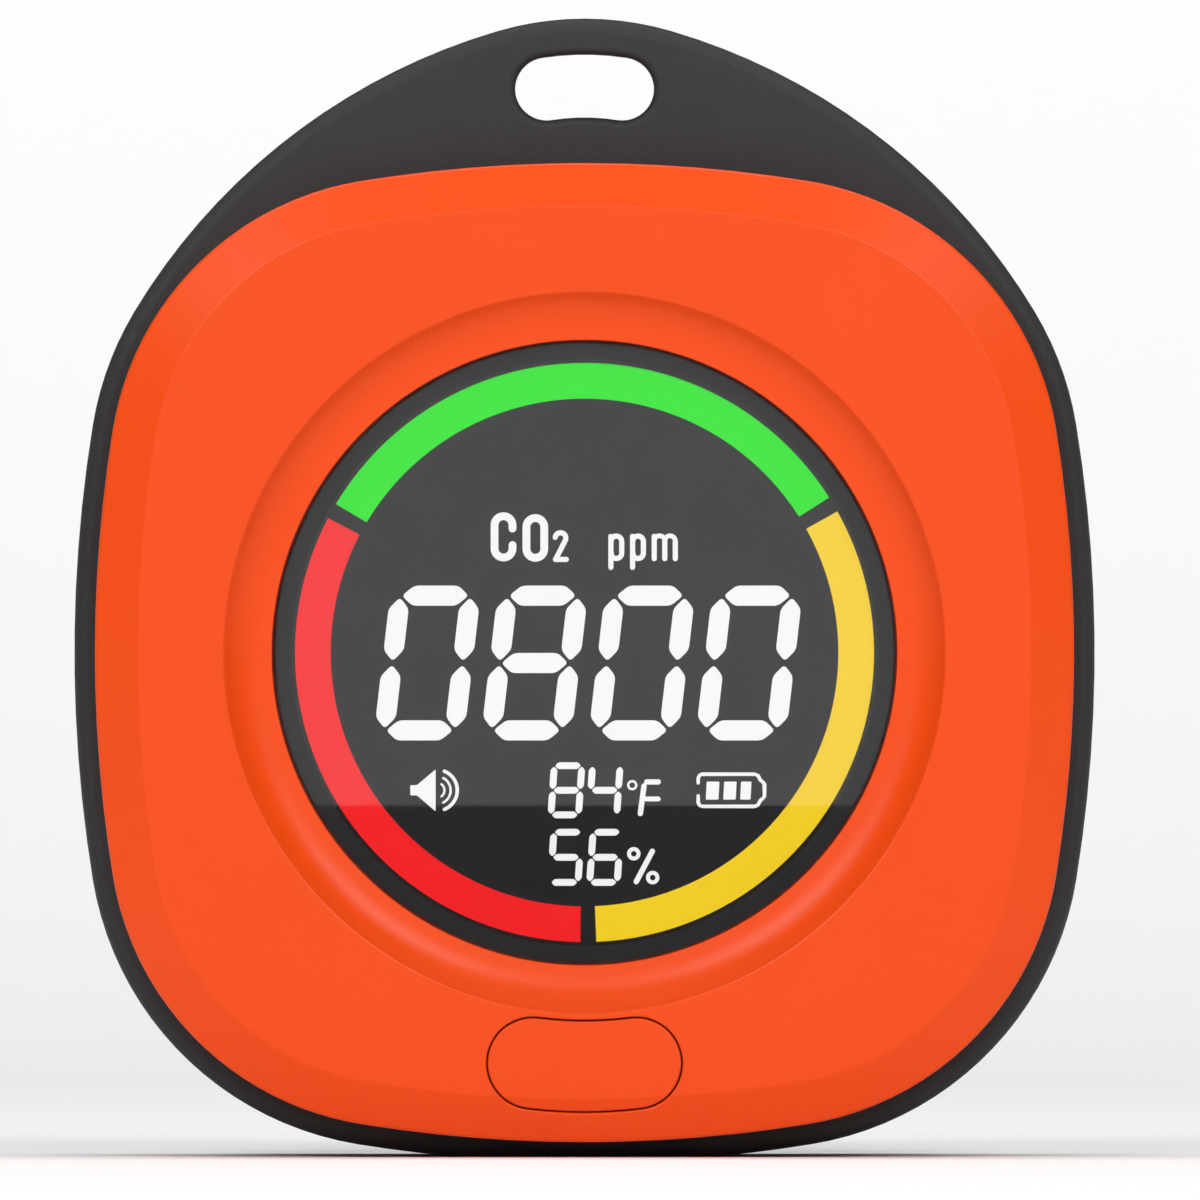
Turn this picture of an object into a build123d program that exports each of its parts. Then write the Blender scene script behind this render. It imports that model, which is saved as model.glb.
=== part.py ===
from build123d import *
import os
from math import asin, atan2, cos, degrees, hypot, radians, sin, sqrt

# Pocket carbon dioxide monitor: a grey rear shell with a hanging tab, an orange bevelled front
# cover, a round dark window over a segment display, one front key, and the board, gas sensor,
# battery and sounder that work behind them.
#
# Frame: millimetres, +Z up, +X to the right of someone facing the display, the display faces -Y.
# The origin is the centre of the base, half way through the depth.
# Heights are measured forwards from the rear face. (u, v) are across and up from the display centre.

# ---- driving dimensions: outline ----
cover_width = 63.2        # orange cover across its flats, in both directions
side_radius = 90.3        # radius of the cover's four nearly flat sides
corner_radius = 19.3      # radius of the cover's four corners
rim_width = 1.4           # grey rim that shows round the cover
base_trim = 0.4           # how far the flat base cuts into the rim
tab_reach = 9.4           # top of the tab above the cover's top edge
tab_top_radius = 20.0     # crown of the tab
tab_shoulder_radius = 40.8

# ---- driving dimensions: depth ----
depth = 24.0              # rear face to front face
cover_height = 7.5        # joint line to front face
bevel_width = 2.8
bevel_height = 1.4

# ---- rear shell ----
shell_wall = 2.0
shell_floor = 2.0
rear_edge_fillet = 3.0
rim_fillet = 0.9
tab_thickness = 5.5
floor_corner_fillet = 1.0
slot_end_radius = 2.05
slot_half_length = 2.45
slot_drop = 4.35          # top of the tab down to the slot's middle
slot_edge_fillet = 0.5
notch_width = 4.1         # shallow case-opening notch across the base
notch_depth = 0.13
vent_count = 5
vent_length = 18.0
vent_width = 1.4
vent_pitch = 2.8
sound_hole_radius = 0.55
sound_ring_radius = 2.4
sound_ring_count = 6
label_width = 30.0
label_height = 12.0
label_corner = 1.5
label_recess = 0.3
label_thickness = 0.18
label_gap = 0.2
label_drop = 12.0         # display centre down to the label's middle

# ---- front cover ----
cover_wall = 1.6
cover_front = 2.0         # thickness of the front wall
cover_edge_fillet = 0.25
lip_depth = 1.5
lip_gap = 0.15
dish_border = 3.2         # dish edge outside the window's edge
dish_depth = 1.6
dish_flat = 0.1           # flat between the window's pocket and the dish's hollow curve
dish_edge_fillet = 0.15
seat_margin = 0.4         # the thick lens seat stops this far inside the dish's edge

# ---- window ----
lens_radius = 20.1
lens_thickness = 1.2
lens_gap = 0.1
lens_edge_chamfer = 0.15
adhesive_thickness = 0.15
adhesive_margin = 0.1
ledge_width = 0.9
ledge_thickness = 0.9

# ---- key ----
key_drop = 3.4            # dish edge down to the key's middle
key_half_length = 3.35
key_end_radius = 2.95
key_gap = 0.1             # clearance all round between key and cover
key_edge_fillet = 0.12    # on the edges of the key and of its opening
key_flange = 0.8
key_flange_reach = 0.9
key_flange_gap = 0.25     # flange to the lens seat and to the side wall
key_post_radius = 1.6
key_rest_gap = 0.05       # flange to front wall at rest; the post rests on the plunger

# ---- display ----
display_gasket_thickness = 0.3
display_gasket_inset = 0.2
polariser_thickness = 0.15
glass_thickness = 0.7
glass_margin = 0.6        # glass edge beyond the window's radius
glass_corner = 2.0
polariser_margin = 0.2    # polariser edge inside the glass edge
contact_ledge = 2.2
contact_ledge_width = 30.0
diffuser_thickness = 0.15
guide_thickness = 2.0
reflector_thickness = 0.1
frame_wall = 0.9
frame_gap = 0.1
band_inset = 1.4          # window's edge to the outer edge of the coloured bands
band_width = 2.3
band_gap_degrees = 3.2
band_turn = 0.75          # the gaps stand this many degrees round from 30, 150 and 270
band_thickness = 0.1
lamp_width = 3.5
lamp_depth = 1.1
lamp_height = 1.6
lamp_strip = 1.4          # the light guide stops this far above the glass's lower edge
lamp_count = 3
lamp_pitch = 10.0
pin_count = 15
pin_pitch = 1.8
pin_width = 0.5
pin_thickness = 0.3
pin_grip = 0.8            # reach of each pin's fork over the glass

# ---- board and switch ----
board_thickness = 1.2
board_gap = 1.0
boss_notch_gap = 0.5
notch_run = 1.3           # the outer half of each corner notch sits this much further out than its boss
post_across = 25.0
post_up = 9.0
post_radius = 1.9
switch_up_shift = 1.0     # the switch sits this far above the key's middle
switch_side = 4.5
switch_corner = 0.4
switch_height = 3.1
switch_floor = 0.4
switch_plate_thickness = 0.2
plunger_radius = 1.2
plunger_top = 3.8
plunger_flange_radius = 1.7
plunger_flange = 0.5
plunger_gap = 0.05
plunger_foot_radius = 0.8
plunger_chamfer = 0.15
dome_height = 0.45
dome_thickness = 0.1
leg_foot = 0.9
leg_width = 0.6
leg_thickness = 0.2
leg_rise = 0.9
leg_spacing = 3.0

# ---- fasteners ----
boss_inset = 3.9          # boss centre inside the cover's outline, along the diagonal
shell_boss_radius = 3.0
cover_boss_radius = 2.4
boss_gap = 0.1
boss_meeting = 1.5        # the shell's and cover's bosses meet this far behind the board
case_seat = 6.0           # rear face to the seat under a case screw's head
case_counterbore_radius = 2.2
case_clear_radius = 1.15
case_pilot_radius = 0.85
case_core_radius = 0.8
case_thread_radius = 1.0
case_head_radius = 1.9
case_head_height = 1.4
case_screw_bite = 4.8     # the screw's tip inside the cover's boss
case_thread_length = 6.0
board_clear_radius = 0.95
board_pilot_radius = 0.65
board_core_radius = 0.6
board_thread_radius = 0.8
board_head_radius = 1.5
board_head_height = 1.0
board_screw_length = 5.0
board_thread_length = 3.4
thread_pitch = 0.7
pilot_spare = 0.6         # the pilot hole runs this far past the screw's tip

# ---- charging port ----
port_width = 8.94
port_height = 3.2
port_length = 8.6
port_wall = 0.3
port_recess = 0.8         # receptacle's mouth inside the shell's surface
port_clearance = 0.3
port_tongue_width = 6.7
port_tongue_thickness = 0.7
port_tongue_length = 6.0
port_block_length = 1.6
port_contact_count = 8
port_contact_pitch = 0.7
port_contact_width = 0.3
port_contact_thickness = 0.05
port_contact_inset = 0.4
port_notch_margin = 1.0

# ---- battery ----
battery_width = 34.0
battery_height = 24.0
battery_thickness = 7.0
battery_edge = 2.0
battery_edge_fillet = 1.0
battery_drop = 12.5
battery_pad_thickness = 0.5
battery_pad_margin = 3.0
rib_height = 3.0
rib_wall = 1.0
rib_gap = 0.4
rib_corner = 1.0
socket_width = 5.0
socket_height = 5.2
socket_thickness = 3.6
socket_across = 19.5      # display centre left to the socket's middle
socket_drop = 14.0
plug_width = 4.2
plug_height = 4.2
plug_thickness = 2.6
plug_insertion = 3.0
plug_gap = 0.1
lead_diameter = 1.1
lead_spacing = 1.5
lead_bend_radius = 2.8
lead_run = 9.6            # battery end out to the middle of the bend
lead_rise = 4.0           # lead above the battery's rear side

# ---- gas sensor and small parts ----
sensor_width = 32.0
sensor_height = 19.0
sensor_across = -1.5
sensor_up = 13.0
sensor_board_thickness = 1.0
sensor_board_corner = 1.0
sensor_standoff = 2.0
sensor_case_width = 27.0
sensor_case_height = 15.0
sensor_case_thickness = 7.5
sensor_case_wall = 0.9
sensor_case_fillet = 1.0
membrane_width = 11.0
membrane_height = 9.0
membrane_thickness = 0.2
gas_inlet_radius = 1.1
lamp_can_radius = 1.6
lamp_can_length = 4.5
detector_radius = 2.3
detector_length = 3.0
optics_spacing = 17.0
optics_gap = 0.2
detector_window_depth = 0.3
header_pin = 0.64
header_pitch = 2.54
header_count = 4
header_strip_width = 2.4
header_hole_radius = 0.5
header_inset = 0.3        # sensor board's edge to the strip
header_pin_drop = 0.1     # the pins stop this far behind the board's front
sounder_radius = 4.5
sounder_height = 4.0
sounder_hole_radius = 0.9
sounder_wall = 0.5
sounder_fillet = 0.4
sounder_disc_thickness = 0.2
sounder_across = 21.0
chip_side = 7.0
chip_thickness = 0.85
chip_mark_inset = 1.2
chip_mark_radius = 0.4
chip_mark_depth = 0.1
chip_across = 6.0
chip_drop = 12.0
charger_width = 3.9
charger_height = 4.9
charger_thickness = 1.45
charger_chamfer = 0.25
charger_across = 19.5     # display centre left to the charger's middle
charger_drop = 7.4
coil_side = 4.0
coil_thickness = 1.8
coil_corner = 0.6
coil_across = 11.0        # display centre left to the coil's middle
coil_drop = 8.0
chip_part_length = 1.6
chip_part_width = 0.8
chip_part_thickness = 0.6
chip_part_pitch = 1.8
chip_part_gap = 2.0       # edge of the chip or coil to the middle of a row of chip parts
humidity_side = 2.5
humidity_thickness = 0.9
humidity_hole_radius = 0.5
humidity_hole_depth = 0.3
humidity_across = 10.0
humidity_rise = 26.0
crystal_width = 3.2
crystal_height = 1.5
crystal_thickness = 0.8
crystal_corner = 0.3

# ---- places that follow from the dimensions above ----
cover_half = cover_width / 2
shell_half = cover_half + rim_width
base_drop = shell_half - base_trim           # display centre down to the base
tab_top = cover_half + tab_reach             # display centre up to the top of the tab
display_height = base_drop
joint_line = depth - cover_height
dish_radius = lens_radius + dish_border
key_height = dish_radius + key_drop          # display centre down to the key's middle
band_radius = lens_radius - band_inset
dish_floor = depth - dish_depth
lens_back = dish_floor - lens_thickness
ledge_front = lens_back - adhesive_thickness
ledge_back = ledge_front - ledge_thickness
window_radius = lens_radius - ledge_width
polariser_front = ledge_back - display_gasket_thickness
front_glass_front = polariser_front - polariser_thickness
rear_glass_front = front_glass_front - glass_thickness
rear_polariser_front = rear_glass_front - glass_thickness
diffuser_front = rear_polariser_front - polariser_thickness
guide_front = diffuser_front - diffuser_thickness
guide_back = guide_front - guide_thickness
board_front = guide_back - reflector_thickness
board_back = board_front - board_thickness
wall_back = depth - cover_front
key_flange_front = wall_back - key_rest_gap
switch_v = -key_height + switch_up_shift
tab_back = joint_line - tab_thickness
cavity_grow = rim_width - shell_wall         # shell's inside, as growth of the cover's outline
seat_radius = dish_radius - seat_margin
glass_half = window_radius + glass_margin
polariser_half = glass_half - polariser_margin
port_middle = board_back - port_height / 2
port_mouth = shell_half - port_recess
header_u = sensor_across - sensor_width / 2 + header_strip_width / 2 + header_inset

# The four corner arcs share centres that put them tangent to the four side arcs.
side_centre = side_radius - cover_half
corner_centre = (sqrt(2 * (side_radius - corner_radius) ** 2 - side_centre**2) - side_centre) / 2
side_sweep = degrees(atan2(corner_centre, corner_centre + side_centre))
boss_across = corner_centre + (corner_radius - boss_inset) / sqrt(2)
boss_places = [(x, y) for x in (-boss_across, boss_across) for y in (-boss_across, boss_across)]
post_places = [(x, y) for x in (-post_across, post_across) for y in (-post_up, post_up)]
shell_boss_top = board_back - boss_gap - boss_meeting
cover_boss_end = shell_boss_top + boss_gap
case_screw_length = cover_boss_end - case_seat + case_screw_bite


def face(height):
    """The plane parallel to the display at this height in front of the rear face."""
    return Plane(origin=(0, depth / 2 - height, display_height), x_dir=(1, 0, 0), z_dir=(0, -1, 0))


# A section through the display's axis: x is the radius and y the height.
section = Plane(origin=(0, depth / 2, display_height), x_dir=(1, 0, 0), z_dir=(0, 0, -1))
display_axis = Axis((0, 0, display_height), (0, -1, 0))
# Seen from the left side: x is the height in front of the rear face and y is v. It looks along +X.
side_view = Plane(origin=(0, depth / 2, display_height), x_dir=(0, -1, 0), z_dir=(-1, 0, 0))


def turned(x, y, angle):
    """(x, y) turned about the display centre."""
    c, s = cos(radians(angle)), sin(radians(angle))
    return (c * x - s * y, s * x + c * y)


def squircle(grow=0.0):
    """The cover's outline, grown outwards by `grow`."""
    with BuildSketch() as shape:
        with BuildLine():
            for angle in (0, 90, 180, 270):
                side_at = turned(-side_centre, 0, angle)
                corner_at = turned(corner_centre, corner_centre, angle)
                CenterArc(side_at, side_radius + grow, angle - side_sweep, 2 * side_sweep)
                CenterArc(corner_at, corner_radius + grow, angle + side_sweep, 90 - 2 * side_sweep)
        make_face()
    return shape.sketch


def shoulder_centre():
    """Centre of the right shoulder arc, tangent to the crown arc and to the corner arc."""
    crown_y = tab_top - tab_top_radius
    to_crown = tab_shoulder_radius - tab_top_radius
    to_corner = tab_shoulder_radius - corner_radius - rim_width
    apart = hypot(corner_centre, corner_centre - crown_y)
    along = (to_crown**2 - to_corner**2 + apart**2) / (2 * apart)
    off = sqrt(to_crown**2 - along**2)
    ux, uy = corner_centre / apart, (corner_centre - crown_y) / apart
    return (along * ux + off * uy, crown_y + along * uy - off * ux)


def shell_outline():
    """The rear shell's outline: the cover's outline grown by the rim, the tab and the flat base."""
    sx, sy = shoulder_centre()
    crown_y = tab_top - tab_top_radius
    corner_end = degrees(atan2(corner_centre - sy, corner_centre - sx))
    crown_start = degrees(atan2(crown_y - sy, -sx))
    shoulder_sweep = crown_start - corner_end
    side = side_radius + rim_width
    corner = corner_radius + rim_width
    with BuildSketch() as shape:
        with BuildLine():
            CenterArc((-side_centre, 0), side, -side_sweep, 2 * side_sweep)
            CenterArc((corner_centre, corner_centre), corner, side_sweep, corner_end - side_sweep)
            CenterArc((sx, sy), tab_shoulder_radius, corner_end, shoulder_sweep)
            CenterArc((0, crown_y), tab_top_radius, crown_start, 180 - 2 * crown_start)
            CenterArc((-sx, sy), tab_shoulder_radius, 180 - crown_start, shoulder_sweep)
            CenterArc((-corner_centre, corner_centre), corner, 180 - corner_end, corner_end - side_sweep)
            CenterArc((side_centre, 0), side, 180 - side_sweep, 2 * side_sweep)
            CenterArc((-corner_centre, -corner_centre), corner, 180 + side_sweep, 90 - 2 * side_sweep)
            CenterArc((0, side_centre), side, 270 - side_sweep, 2 * side_sweep)
            CenterArc((corner_centre, -corner_centre), corner, 270 + side_sweep, 90 - 2 * side_sweep)
        make_face()
        with Locations((0, -base_drop)):
            Rectangle(2 * shell_half, shell_half, align=(Align.CENTER, Align.MAX), mode=Mode.SUBTRACT)
    return shape.sketch


def arc_slot(radius, direction, half_length, end_radius):
    """A round-ended slot bent round the origin, its middle at `radius` in `direction` degrees."""
    half_sweep = degrees(half_length / radius)
    with BuildSketch() as shape:
        middle_line = CenterArc((0, 0), radius, direction - half_sweep, 2 * half_sweep, mode=Mode.PRIVATE)
        SlotArc(middle_line, 2 * end_radius)
    return shape.sketch


def key_outline(grow):
    """The key's outline, bent round the dish and grown outwards by `grow`."""
    return arc_slot(key_height, 270, key_half_length, key_end_radius + grow)


def key_rim(part, grow):
    """The front edges of `part` that follow the key's outline grown outwards by `grow`."""
    outline = (face(depth) * key_outline(grow)).edges()

    def on_rim(edge):
        middle = edge @ 0.5
        ahead = Vertex(middle.X, -depth / 2, middle.Z)
        return middle.Y < cover_front / 2 - depth / 2 and min(e.distance_to(ahead) for e in outline) < 0.01

    return part.edges().filter_by(Axis.Y, reverse=True).filter_by(on_rim)


def cover_block():
    """The front cover's outside as one solid, bevelled round its front."""
    with BuildPart() as block:
        with BuildSketch(face(joint_line)):
            add(squircle())
        extrude(amount=cover_height)
        front = block.faces().sort_by(Axis.Y)[0]
        chamfer(front.edges(), length=bevel_width, length2=bevel_height, reference=front)
        fillet(block.faces().sort_by(Axis.Y)[0].edges(), radius=cover_edge_fillet)
        bevel_foot = bevel_height - depth / 2
        foot_edges = block.edges().filter_by_position(Axis.Y, bevel_foot - 0.01, bevel_foot + 0.01)
        fillet(foot_edges, radius=cover_edge_fillet)
    return block.part


def screw(head_radius, head_height, shaft_length, core_radius, thread_radius, thread_length):
    """A pan-head screw, its seat at the origin, its tip along +Z and its cross recess facing -Z."""
    ring_count = int(thread_length / thread_pitch)
    profile = [(0, -head_height), (head_radius * 0.8, -head_height), (head_radius, -head_height * 0.6)]
    profile += [(head_radius, 0), (core_radius, 0)]
    for ring in range(ring_count):
        start = shaft_length - core_radius - (ring_count - ring) * thread_pitch
        profile += [(core_radius, start), (thread_radius, start + thread_pitch * 0.4)]
        profile += [(thread_radius, start + thread_pitch * 0.55), (core_radius, start + thread_pitch * 0.95)]
    profile += [(core_radius, shaft_length - core_radius), (core_radius * 0.5, shaft_length)]
    profile += [(0, shaft_length)]
    with BuildPart() as shape:
        with BuildSketch(Plane.XZ):
            with BuildLine():
                Polyline(*profile, close=True)
            make_face()
        revolve(axis=Axis.Z)
        with BuildSketch(Plane.XY.offset(-head_height)):
            Rectangle(head_radius * 1.15, head_radius * 0.26)
            Rectangle(head_radius * 0.26, head_radius * 1.15)
        extrude(amount=head_height * 0.6, mode=Mode.SUBTRACT)
    return shape.part


def at(height, *places):
    """Locations in the plane at `height`, one for each (u, v)."""
    return [face(height).location * Location((u, v, 0)) for u, v in places]


def save(part, name):
    part.part.label = name
    export_step(part.part, f"parts/{name}.step")


os.makedirs("parts", exist_ok=True)

# ================= casings =================

with BuildPart() as rear_shell:
    with BuildSketch(face(0)):
        add(squircle(rim_width))
        with Locations((0, -base_drop)):
            Rectangle(2 * shell_half, shell_half, align=(Align.CENTER, Align.MAX), mode=Mode.SUBTRACT)
    extrude(amount=joint_line)
    fillet(rear_shell.faces().sort_by(Axis.Y)[-1].edges(), radius=rear_edge_fillet)
    # The tab is a thinner plate that rises out of the shell's front half.
    with BuildSketch(face(tab_back)):
        add(shell_outline())
    extrude(amount=tab_thickness)
    fillet(rear_shell.faces().sort_by(Axis.Y)[0].edges(), radius=rim_fillet)
    tab_face = depth / 2 - tab_back
    with BuildSketch(face(tab_back)):
        with Locations((0, tab_top - tab_top_radius)):
            add(arc_slot(tab_top_radius - slot_drop, 90, slot_half_length, slot_end_radius))
    extrude(amount=tab_thickness, mode=Mode.SUBTRACT)
    slot_z = display_height + tab_top - slot_drop
    slot_reach = slot_half_length + slot_end_radius
    for y in (tab_face, depth / 2 - joint_line):
        rims = rear_shell.edges().filter_by_position(Axis.X, -slot_reach, slot_reach)
        rims = rims.filter_by_position(Axis.Z, slot_z - slot_end_radius - 0.1, slot_z + slot_end_radius + 0.1)
        fillet(rims.filter_by_position(Axis.Y, y - 0.01, y + 0.01), radius=slot_edge_fillet)
    # Inside.
    with BuildSketch(face(shell_floor)):
        add(squircle(cavity_grow))
    extrude(amount=joint_line, mode=Mode.SUBTRACT)
    floor_face = rear_shell.faces().filter_by_position(Axis.Y, depth / 2 - shell_floor - 0.01, depth / 2)
    fillet(floor_face.filter_by(Axis.Y).sort_by(Axis.Y)[0].edges(), radius=floor_corner_fillet)
    with BuildSketch(face(shell_floor)):
        with Locations(*boss_places):
            Circle(shell_boss_radius)
    extrude(amount=shell_boss_top - shell_floor)
    with BuildSketch(face(0)):
        with Locations(*boss_places):
            Circle(case_counterbore_radius)
    extrude(amount=case_seat, mode=Mode.SUBTRACT)
    with BuildSketch(face(case_seat)):
        with Locations(*boss_places):
            Circle(case_clear_radius)
    extrude(amount=shell_boss_top - case_seat, mode=Mode.SUBTRACT)
    # A low wall keeps the battery in place.
    with BuildSketch(face(shell_floor)):
        with Locations((0, -battery_drop)):
            around = 2 * (rib_gap + rib_wall)
            inside = 2 * rib_gap
            RectangleRounded(battery_width + around, battery_height + around, rib_corner + rib_wall)
            RectangleRounded(battery_width + inside, battery_height + inside, rib_corner, mode=Mode.SUBTRACT)
    extrude(amount=rib_height)
    # Air slots behind the gas sensor and a rose of holes behind the sounder.
    with BuildSketch(face(0)):
        with Locations((sensor_across, sensor_up)):
            with GridLocations(1, vent_pitch, 1, vent_count):
                SlotOverall(vent_length, vent_width)
        with Locations((sounder_across, 0)):
            Circle(sound_hole_radius)
            with PolarLocations(sound_ring_radius, sound_ring_count):
                Circle(sound_hole_radius)
    extrude(amount=shell_floor, mode=Mode.SUBTRACT)
    with BuildSketch(face(0)):
        with Locations((0, -label_drop)):
            RectangleRounded(label_width, label_height, label_corner)
    extrude(amount=label_recess, mode=Mode.SUBTRACT)
    # Charging port opening through the left wall.
    with BuildSketch(side_view.offset(shell_half - port_length)):
        with Locations((port_middle, 0)):
            SlotOverall(port_width + 2 * port_clearance, port_height + 2 * port_clearance, rotation=90)
    extrude(amount=port_length + 1, mode=Mode.SUBTRACT)
    # Shallow notch across the base, at the joint.
    with BuildSketch(face(0)):
        with Locations((0, -base_drop)):
            Rectangle(notch_width, 2 * notch_depth)
    extrude(amount=joint_line, mode=Mode.SUBTRACT)
save(rear_shell, "rear_shell")

with BuildPart() as front_cover:
    add(cover_block())
    with BuildSketch(face(joint_line)):
        add(squircle(-cover_wall))
    extrude(amount=wall_back - joint_line, mode=Mode.SUBTRACT)
    # Lip that centres the cover in the rear shell, open where the charging port passes.
    with BuildSketch(face(joint_line - lip_depth)):
        add(squircle(cavity_grow - lip_gap))
        add(squircle(-cover_wall), mode=Mode.SUBTRACT)
        with Locations((-shell_half, 0)):
            Rectangle(2 * port_length, port_width + 2 * port_notch_margin, mode=Mode.SUBTRACT)
    extrude(amount=lip_depth)
    # Round seat that carries the window.
    with BuildSketch(face(ledge_back)):
        Circle(seat_radius)
    extrude(amount=wall_back - ledge_back)
    # Dished face round the window.
    cove_start = lens_radius + lens_gap + dish_flat
    cove_width = dish_radius - cove_start
    cove_radius = (cove_width**2 + dish_depth**2) / (2 * dish_depth)
    cove_sweep = degrees(atan2(cove_width, cove_radius - dish_depth))
    with BuildSketch(section):
        with BuildLine():
            Line((0, dish_floor), (cove_start, dish_floor))
            CenterArc((cove_start, dish_floor + cove_radius), cove_radius, 270, cove_sweep)
            Polyline((dish_radius, depth), (dish_radius, depth + 1), (0, depth + 1), (0, dish_floor))
        make_face()
    revolve(axis=display_axis, mode=Mode.SUBTRACT)
    front_circles = front_cover.faces().sort_by(Axis.Y)[0].edges().filter_by(GeomType.CIRCLE)
    dish_rim = front_circles.filter_by(lambda edge: abs(edge.radius - dish_radius) < 0.01)
    fillet(dish_rim, radius=dish_edge_fillet)
    with BuildSketch(face(ledge_front)):
        Circle(lens_radius + lens_gap)
    extrude(amount=depth - ledge_front, mode=Mode.SUBTRACT)
    with BuildSketch(face(ledge_back)):
        Circle(window_radius)
    extrude(amount=depth - ledge_back, mode=Mode.SUBTRACT)
    with BuildSketch(face(joint_line)):
        add(key_outline(key_gap / 2))
    extrude(amount=cover_height + 1, mode=Mode.SUBTRACT)
    fillet(key_rim(front_cover, key_gap / 2), radius=key_edge_fillet)
    # Screw bosses and board posts.
    with BuildSketch(face(cover_boss_end)):
        with Locations(*boss_places):
            Circle(cover_boss_radius)
    extrude(amount=wall_back - cover_boss_end)
    with BuildSketch(face(cover_boss_end)):
        with Locations(*boss_places):
            Circle(case_pilot_radius)
    extrude(amount=case_seat + case_screw_length + pilot_spare - cover_boss_end, mode=Mode.SUBTRACT)
    with BuildSketch(face(board_front)):
        with Locations(*post_places):
            Circle(post_radius)
    extrude(amount=wall_back - board_front)
    with BuildSketch(face(board_front)):
        with Locations(*post_places):
            Circle(board_pilot_radius)
    extrude(amount=board_screw_length - board_thickness + pilot_spare, mode=Mode.SUBTRACT)
save(front_cover, "front_cover")

# ================= window and key =================

with BuildPart() as display_lens:
    with BuildSketch(face(lens_back)):
        Circle(lens_radius)
    extrude(amount=lens_thickness)
    chamfer(display_lens.faces().sort_by(Axis.Y)[0].edges(), length=lens_edge_chamfer)
save(display_lens, "display_lens")

with BuildPart() as lens_adhesive_ring:
    with BuildSketch(face(ledge_front)):
        Circle(lens_radius - adhesive_margin)
        Circle(window_radius + adhesive_margin, mode=Mode.SUBTRACT)
    extrude(amount=adhesive_thickness)
save(lens_adhesive_ring, "lens_adhesive_ring")

with BuildPart() as key_cap:
    with BuildSketch(face(key_flange_front)):
        add(key_outline(-key_gap / 2))
    extrude(amount=depth - key_flange_front)
    add(cover_block(), mode=Mode.INTERSECT)
    fillet(key_rim(key_cap, -key_gap / 2), radius=key_edge_fillet)
    # A flange behind the front wall keeps the key in.
    with BuildSketch(face(key_flange_front - key_flange)):
        add(key_outline(key_flange_reach))
        add(squircle(-cover_wall - key_flange_gap), mode=Mode.INTERSECT)
        Circle(seat_radius + key_flange_gap, mode=Mode.SUBTRACT)
    extrude(amount=key_flange)
    with BuildSketch(face(board_front + plunger_top)):
        with Locations((0, switch_v)):
            Circle(key_post_radius)
    extrude(amount=key_flange_front - key_flange - board_front - plunger_top)
save(key_cap, "key_cap")

# ================= display =================

with BuildPart() as display_gasket:
    with BuildSketch(face(polariser_front)):
        gasket_side = 2 * (glass_half - display_gasket_inset)
        RectangleRounded(gasket_side, gasket_side, glass_corner)
        Circle(window_radius, mode=Mode.SUBTRACT)
    extrude(amount=display_gasket_thickness)
save(display_gasket, "display_gasket")

with BuildPart() as front_polariser:
    with BuildSketch(face(front_glass_front)):
        RectangleRounded(2 * polariser_half, 2 * polariser_half, glass_corner)
    extrude(amount=polariser_thickness)
save(front_polariser, "front_polariser")

with BuildPart() as front_glass:
    with BuildSketch(face(rear_glass_front)):
        RectangleRounded(2 * glass_half, 2 * glass_half, glass_corner)
    extrude(amount=glass_thickness)
save(front_glass, "front_glass")

with BuildPart() as rear_glass:
    with BuildSketch(face(rear_polariser_front)):
        RectangleRounded(2 * glass_half, 2 * glass_half, glass_corner)
        with Locations((0, glass_half)):
            Rectangle(contact_ledge_width, 2 * contact_ledge)
    extrude(amount=glass_thickness)
save(rear_glass, "rear_glass")

with BuildPart() as rear_polariser:
    with BuildSketch(face(diffuser_front)):
        RectangleRounded(2 * polariser_half, 2 * polariser_half, glass_corner)
    extrude(amount=polariser_thickness)
save(rear_polariser, "rear_polariser")

with BuildPart() as diffuser_sheet:
    with BuildSketch(face(guide_front)):
        RectangleRounded(2 * glass_half, 2 * glass_half, glass_corner)
    extrude(amount=diffuser_thickness)
save(diffuser_sheet, "diffuser_sheet")

with BuildPart() as light_guide:
    with BuildSketch(face(guide_back)):
        RectangleRounded(2 * glass_half, 2 * glass_half, glass_corner)
        with Locations((0, -glass_half)):
            Rectangle(2 * glass_half, 2 * lamp_strip, mode=Mode.SUBTRACT)
    extrude(amount=guide_thickness)
save(light_guide, "light_guide")

with BuildPart() as reflector_sheet:
    with BuildSketch(face(board_front)):
        RectangleRounded(2 * glass_half, 2 * glass_half, glass_corner)
        with Locations((0, -glass_half)):
            Rectangle(2 * glass_half, 2 * lamp_strip, mode=Mode.SUBTRACT)
    extrude(amount=reflector_thickness)
save(reflector_sheet, "reflector_sheet")

with BuildPart() as backlight_lamps:
    with BuildSketch(face(board_front)):
        with Locations((0, lamp_strip / 2 - glass_half)):
            with GridLocations(lamp_pitch, 1, lamp_count, 1):
                Rectangle(lamp_width, lamp_depth)
    extrude(amount=lamp_height)
save(backlight_lamps, "backlight_lamps")

with BuildPart() as display_frame:
    with BuildSketch(face(board_front)):
        outer = 2 * (glass_half + frame_gap + frame_wall)
        inner = 2 * (glass_half + frame_gap)
        RectangleRounded(outer, outer, glass_corner + frame_gap + frame_wall)
        RectangleRounded(inner, inner, glass_corner + frame_gap, mode=Mode.SUBTRACT)
    extrude(amount=front_glass_front - board_front)
    # Open at the top for the glass's contact ledge.
    with BuildSketch(face(rear_polariser_front - frame_gap)):
        with Locations((0, glass_half + contact_ledge)):
            Rectangle(contact_ledge_width + 4 * frame_gap, 2 * contact_ledge)
    extrude(amount=front_glass_front - rear_polariser_front + 1, mode=Mode.SUBTRACT)
save(display_frame, "display_frame")

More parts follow.
